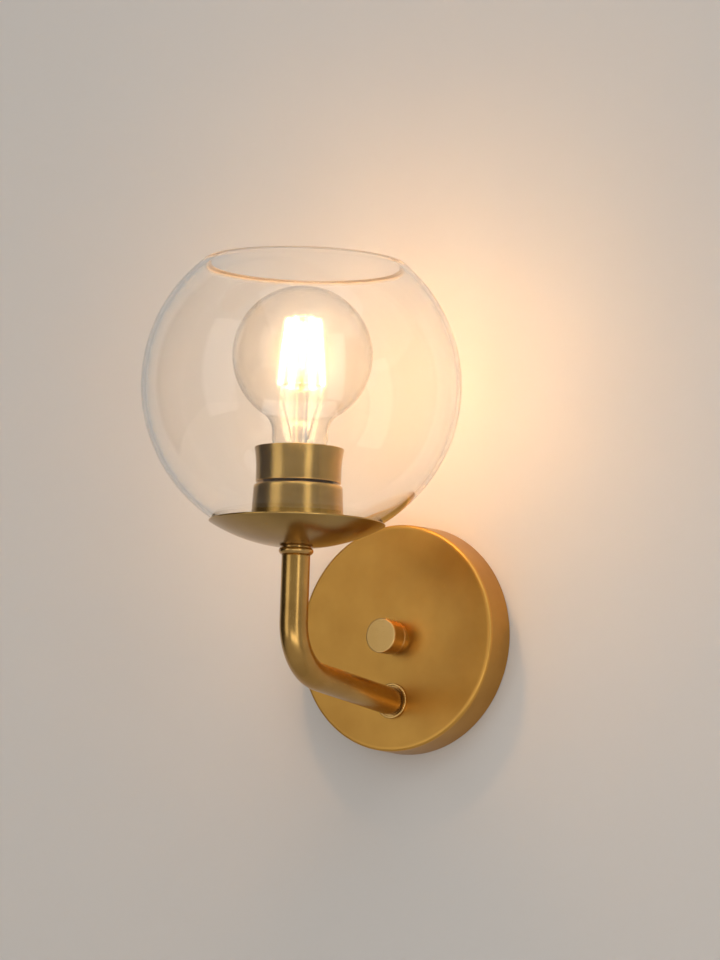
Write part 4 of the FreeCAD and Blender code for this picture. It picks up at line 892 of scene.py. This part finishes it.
places = [Matrix.Translation((side * 30, -9.5, -37)) for side in (-1, 1)]
places.append(Matrix.Translation((2, -9.5, 40)) @ Matrix.Rotation(math.radians(-90), 4, "Y"))
connectors = joined("twist_connectors", [
    surface(f"connector_{i}", connector_grid(place), loop=True) for i, place in enumerate(places)
])
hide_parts("wire_connectors")
dress(["twist_connectors"], moulded("connector_plastic", (0.72, 0.20, 0.02), 0.34, 500))
dress(["lamp_insulator"], moulded("black_glass", (0.01, 0.01, 0.012), 0.16, 300))
dress(["lamp_driver"], moulded("circuit_board", (0.55, 0.54, 0.47), 0.5, 1500))

# %% [markdown]
# ## Wall, floor and light
# The light fitting stands on a pale wall above a pale floor. The wall has an opening
# behind the backplate, where a wall box would be, and both wall and floor let a camera
# behind them see through, so the piece can be looked at from every side. Tall soft
# lamps stand left and right of the viewer: a brass cup mirrors each as one upright
# bright band. Two wide ones, high and low, light the wall evenly. The world is a dim
# room that gets darker to the left, so the metal keeps a dark side, while a camera that
# looks past the stage sees it pale.


# %% Wall and floor
def pale_surface(name, colour, mottle):
    """Matte paint with faint mottling, clear to a viewer behind it."""
    material, tree, shader = new_material(name)
    place = node(tree, "ShaderNodeTexCoord").outputs["Object"]
    cloud = noise(tree, place, 3, 4.0).outputs[0]
    paint = blended(tree, cloud, colour, tuple(c * mottle for c in colour))
    tree.links.new(paint, shader.inputs["Base Color"])
    shader.inputs["Roughness"].default_value = 0.9
    shader.inputs["Specular IOR Level"].default_value = 0.1
    behind = node(tree, "ShaderNodeNewGeometry").outputs["Backfacing"]
    clear = node(tree, "ShaderNodeBsdfTransparent")
    mix = node(tree, "ShaderNodeMixShader", [(behind, 0), (shader.outputs[0], 1), (clear.outputs[0], 2)])
    tree.links.new(mix.outputs[0], tree.nodes["Material Output"].inputs["Surface"])
    return material


def stage_mesh(name, points, faces, material):
    mesh = bpy.data.meshes.new(name)
    mesh.from_pydata(points, [], faces)
    mesh.materials.append(material)
    piece = bpy.data.objects.new(name, mesh)
    bpy.context.collection.objects.link(piece)
    return piece


WALL_Y, FLOOR_Z = 0.0006, -1.1      # metres, as everything on the stage
WALL_HALF, HOLE_R = 3.0, 0.0645
a = np.arange(96) * 2 * math.pi / 96
square = 1 / np.maximum(np.abs(np.cos(a)), np.abs(np.sin(a)))
hole = np.stack([HOLE_R * np.cos(a), WALL_Y + 0 * a, HOLE_R * np.sin(a)], -1)
outer = np.stack([
    WALL_HALF * square * np.cos(a), WALL_Y + 0 * a, FLOOR_Z + WALL_HALF + WALL_HALF * square * np.sin(a),
], -1)
quads = [(i, 96 + i, 96 + (i + 1) % 96, (i + 1) % 96) for i in range(96)]
wall_paint = pale_surface("wall_paint", (0.70, 0.665, 0.625), 0.97)
floor_paint = pale_surface("floor_paint", (0.70, 0.67, 0.64), 0.97)
wall_piece = stage_mesh("wall", np.vstack([hole, outer]), quads, wall_paint)
corners = [(-WALL_HALF, WALL_Y), (-WALL_HALF, -4), (WALL_HALF, -4), (WALL_HALF, WALL_Y)]
floor_piece = stage_mesh("floor", [(x, y, FLOOR_Z) for x, y in corners], [(0, 1, 2, 3)], floor_paint)
print("wall faces the room", wall_piece.data.polygons[0].normal.y < 0)
print("floor faces up", floor_piece.data.polygons[0].normal.z > 0)

# %% Camera
AZ, EL, ROLL = math.radians(34.07), math.radians(-7.09), math.radians(1.77)
towards = Vector((math.sin(AZ) * math.cos(EL), -math.cos(AZ) * math.cos(EL), math.sin(EL)))
level_right = Vector((math.cos(AZ), math.sin(AZ), 0))
level_up = towards.cross(level_right)
right = level_right * math.cos(ROLL) + level_up * math.sin(ROLL)
up = level_up * math.cos(ROLL) - level_right * math.sin(ROLL)
CAMERA_RIGHT, CAMERA_UP, CAMERA_AWAY = -0.03069, 0.09306, 2.75456     # metres
place = right * CAMERA_RIGHT + up * CAMERA_UP + towards * CAMERA_AWAY
camera = bpy.data.objects.new("camera", bpy.data.cameras.new("camera"))
camera.matrix_world = Matrix((
    (right.x, up.x, towards.x, place.x), (right.y, up.y, towards.y, place.y),
    (right.z, up.z, towards.z, place.z), (0, 0, 0, 1),
))
camera.data.lens = 178.53
bpy.context.collection.objects.link(camera)
bpy.context.scene.camera = camera


# %% Lamps and world
def soft_lamp(name, turn, rise, distance, width, height, watts):
    """Area lamp at an angle beside the viewer (turn, to the right) and above (rise), aimed
    at the middle of the piece."""
    light = bpy.data.lights.new(name, "AREA")
    light.shape = "RECTANGLE"
    light.size, light.size_y = width, height
    light.energy = watts
    azimuth, rise = AZ + math.radians(turn), math.radians(rise)
    way = Vector((math.sin(azimuth) * math.cos(rise), -math.cos(azimuth) * math.cos(rise), math.sin(rise)))
    lamp = bpy.data.objects.new(name, light)
    lamp.location = Vector((0, -0.1, 0.07)) + way * distance
    lamp.rotation_euler = way.to_track_quat("Z", "Y").to_euler()
    bpy.context.collection.objects.link(lamp)


soft_lamp("left_window", -60, 8, 2.0, 0.95, 2.2, 7)
soft_lamp("right_window", 25, 8, 2.4, 0.5, 2.0, 6)
soft_lamp("high_fill", 10, 52, 2.6, 3.0, 2.0, 17)
soft_lamp("low_fill", 0, -34, 2.4, 2.4, 1.4, 24)
DARK_SIDE = (math.sin(AZ - math.radians(104)), -math.cos(AZ - math.radians(104)), 0)
world = bpy.data.worlds.new("room")
bpy.context.scene.world = world
world.use_nodes = True
room = world.node_tree
direction = node(room, "ShaderNodeTexCoord").outputs["Generated"]
side = node(room, "ShaderNodeVectorMath", [(direction, 0)], operation="DOT_PRODUCT")
side.inputs[1].default_value = DARK_SIDE
shade = node(room, "ShaderNodeMapRange", [(side.outputs["Value"], "Value")], interpolation_type="SMOOTHSTEP")
shade.inputs["From Min"].default_value = 0.45
shade.inputs["From Max"].default_value = 0.85
room_light = blended(room, shade.outputs["Result"], (0.38, 0.372, 0.36), (0.045, 0.040, 0.033))
seen = node(room, "ShaderNodeLightPath").outputs["Is Camera Ray"]
room.links.new(blended(room, seen, room_light, (0.78, 0.76, 0.73)), room.nodes["Background"].inputs["Color"])
bpy.context.scene.view_settings.view_transform = "Standard"
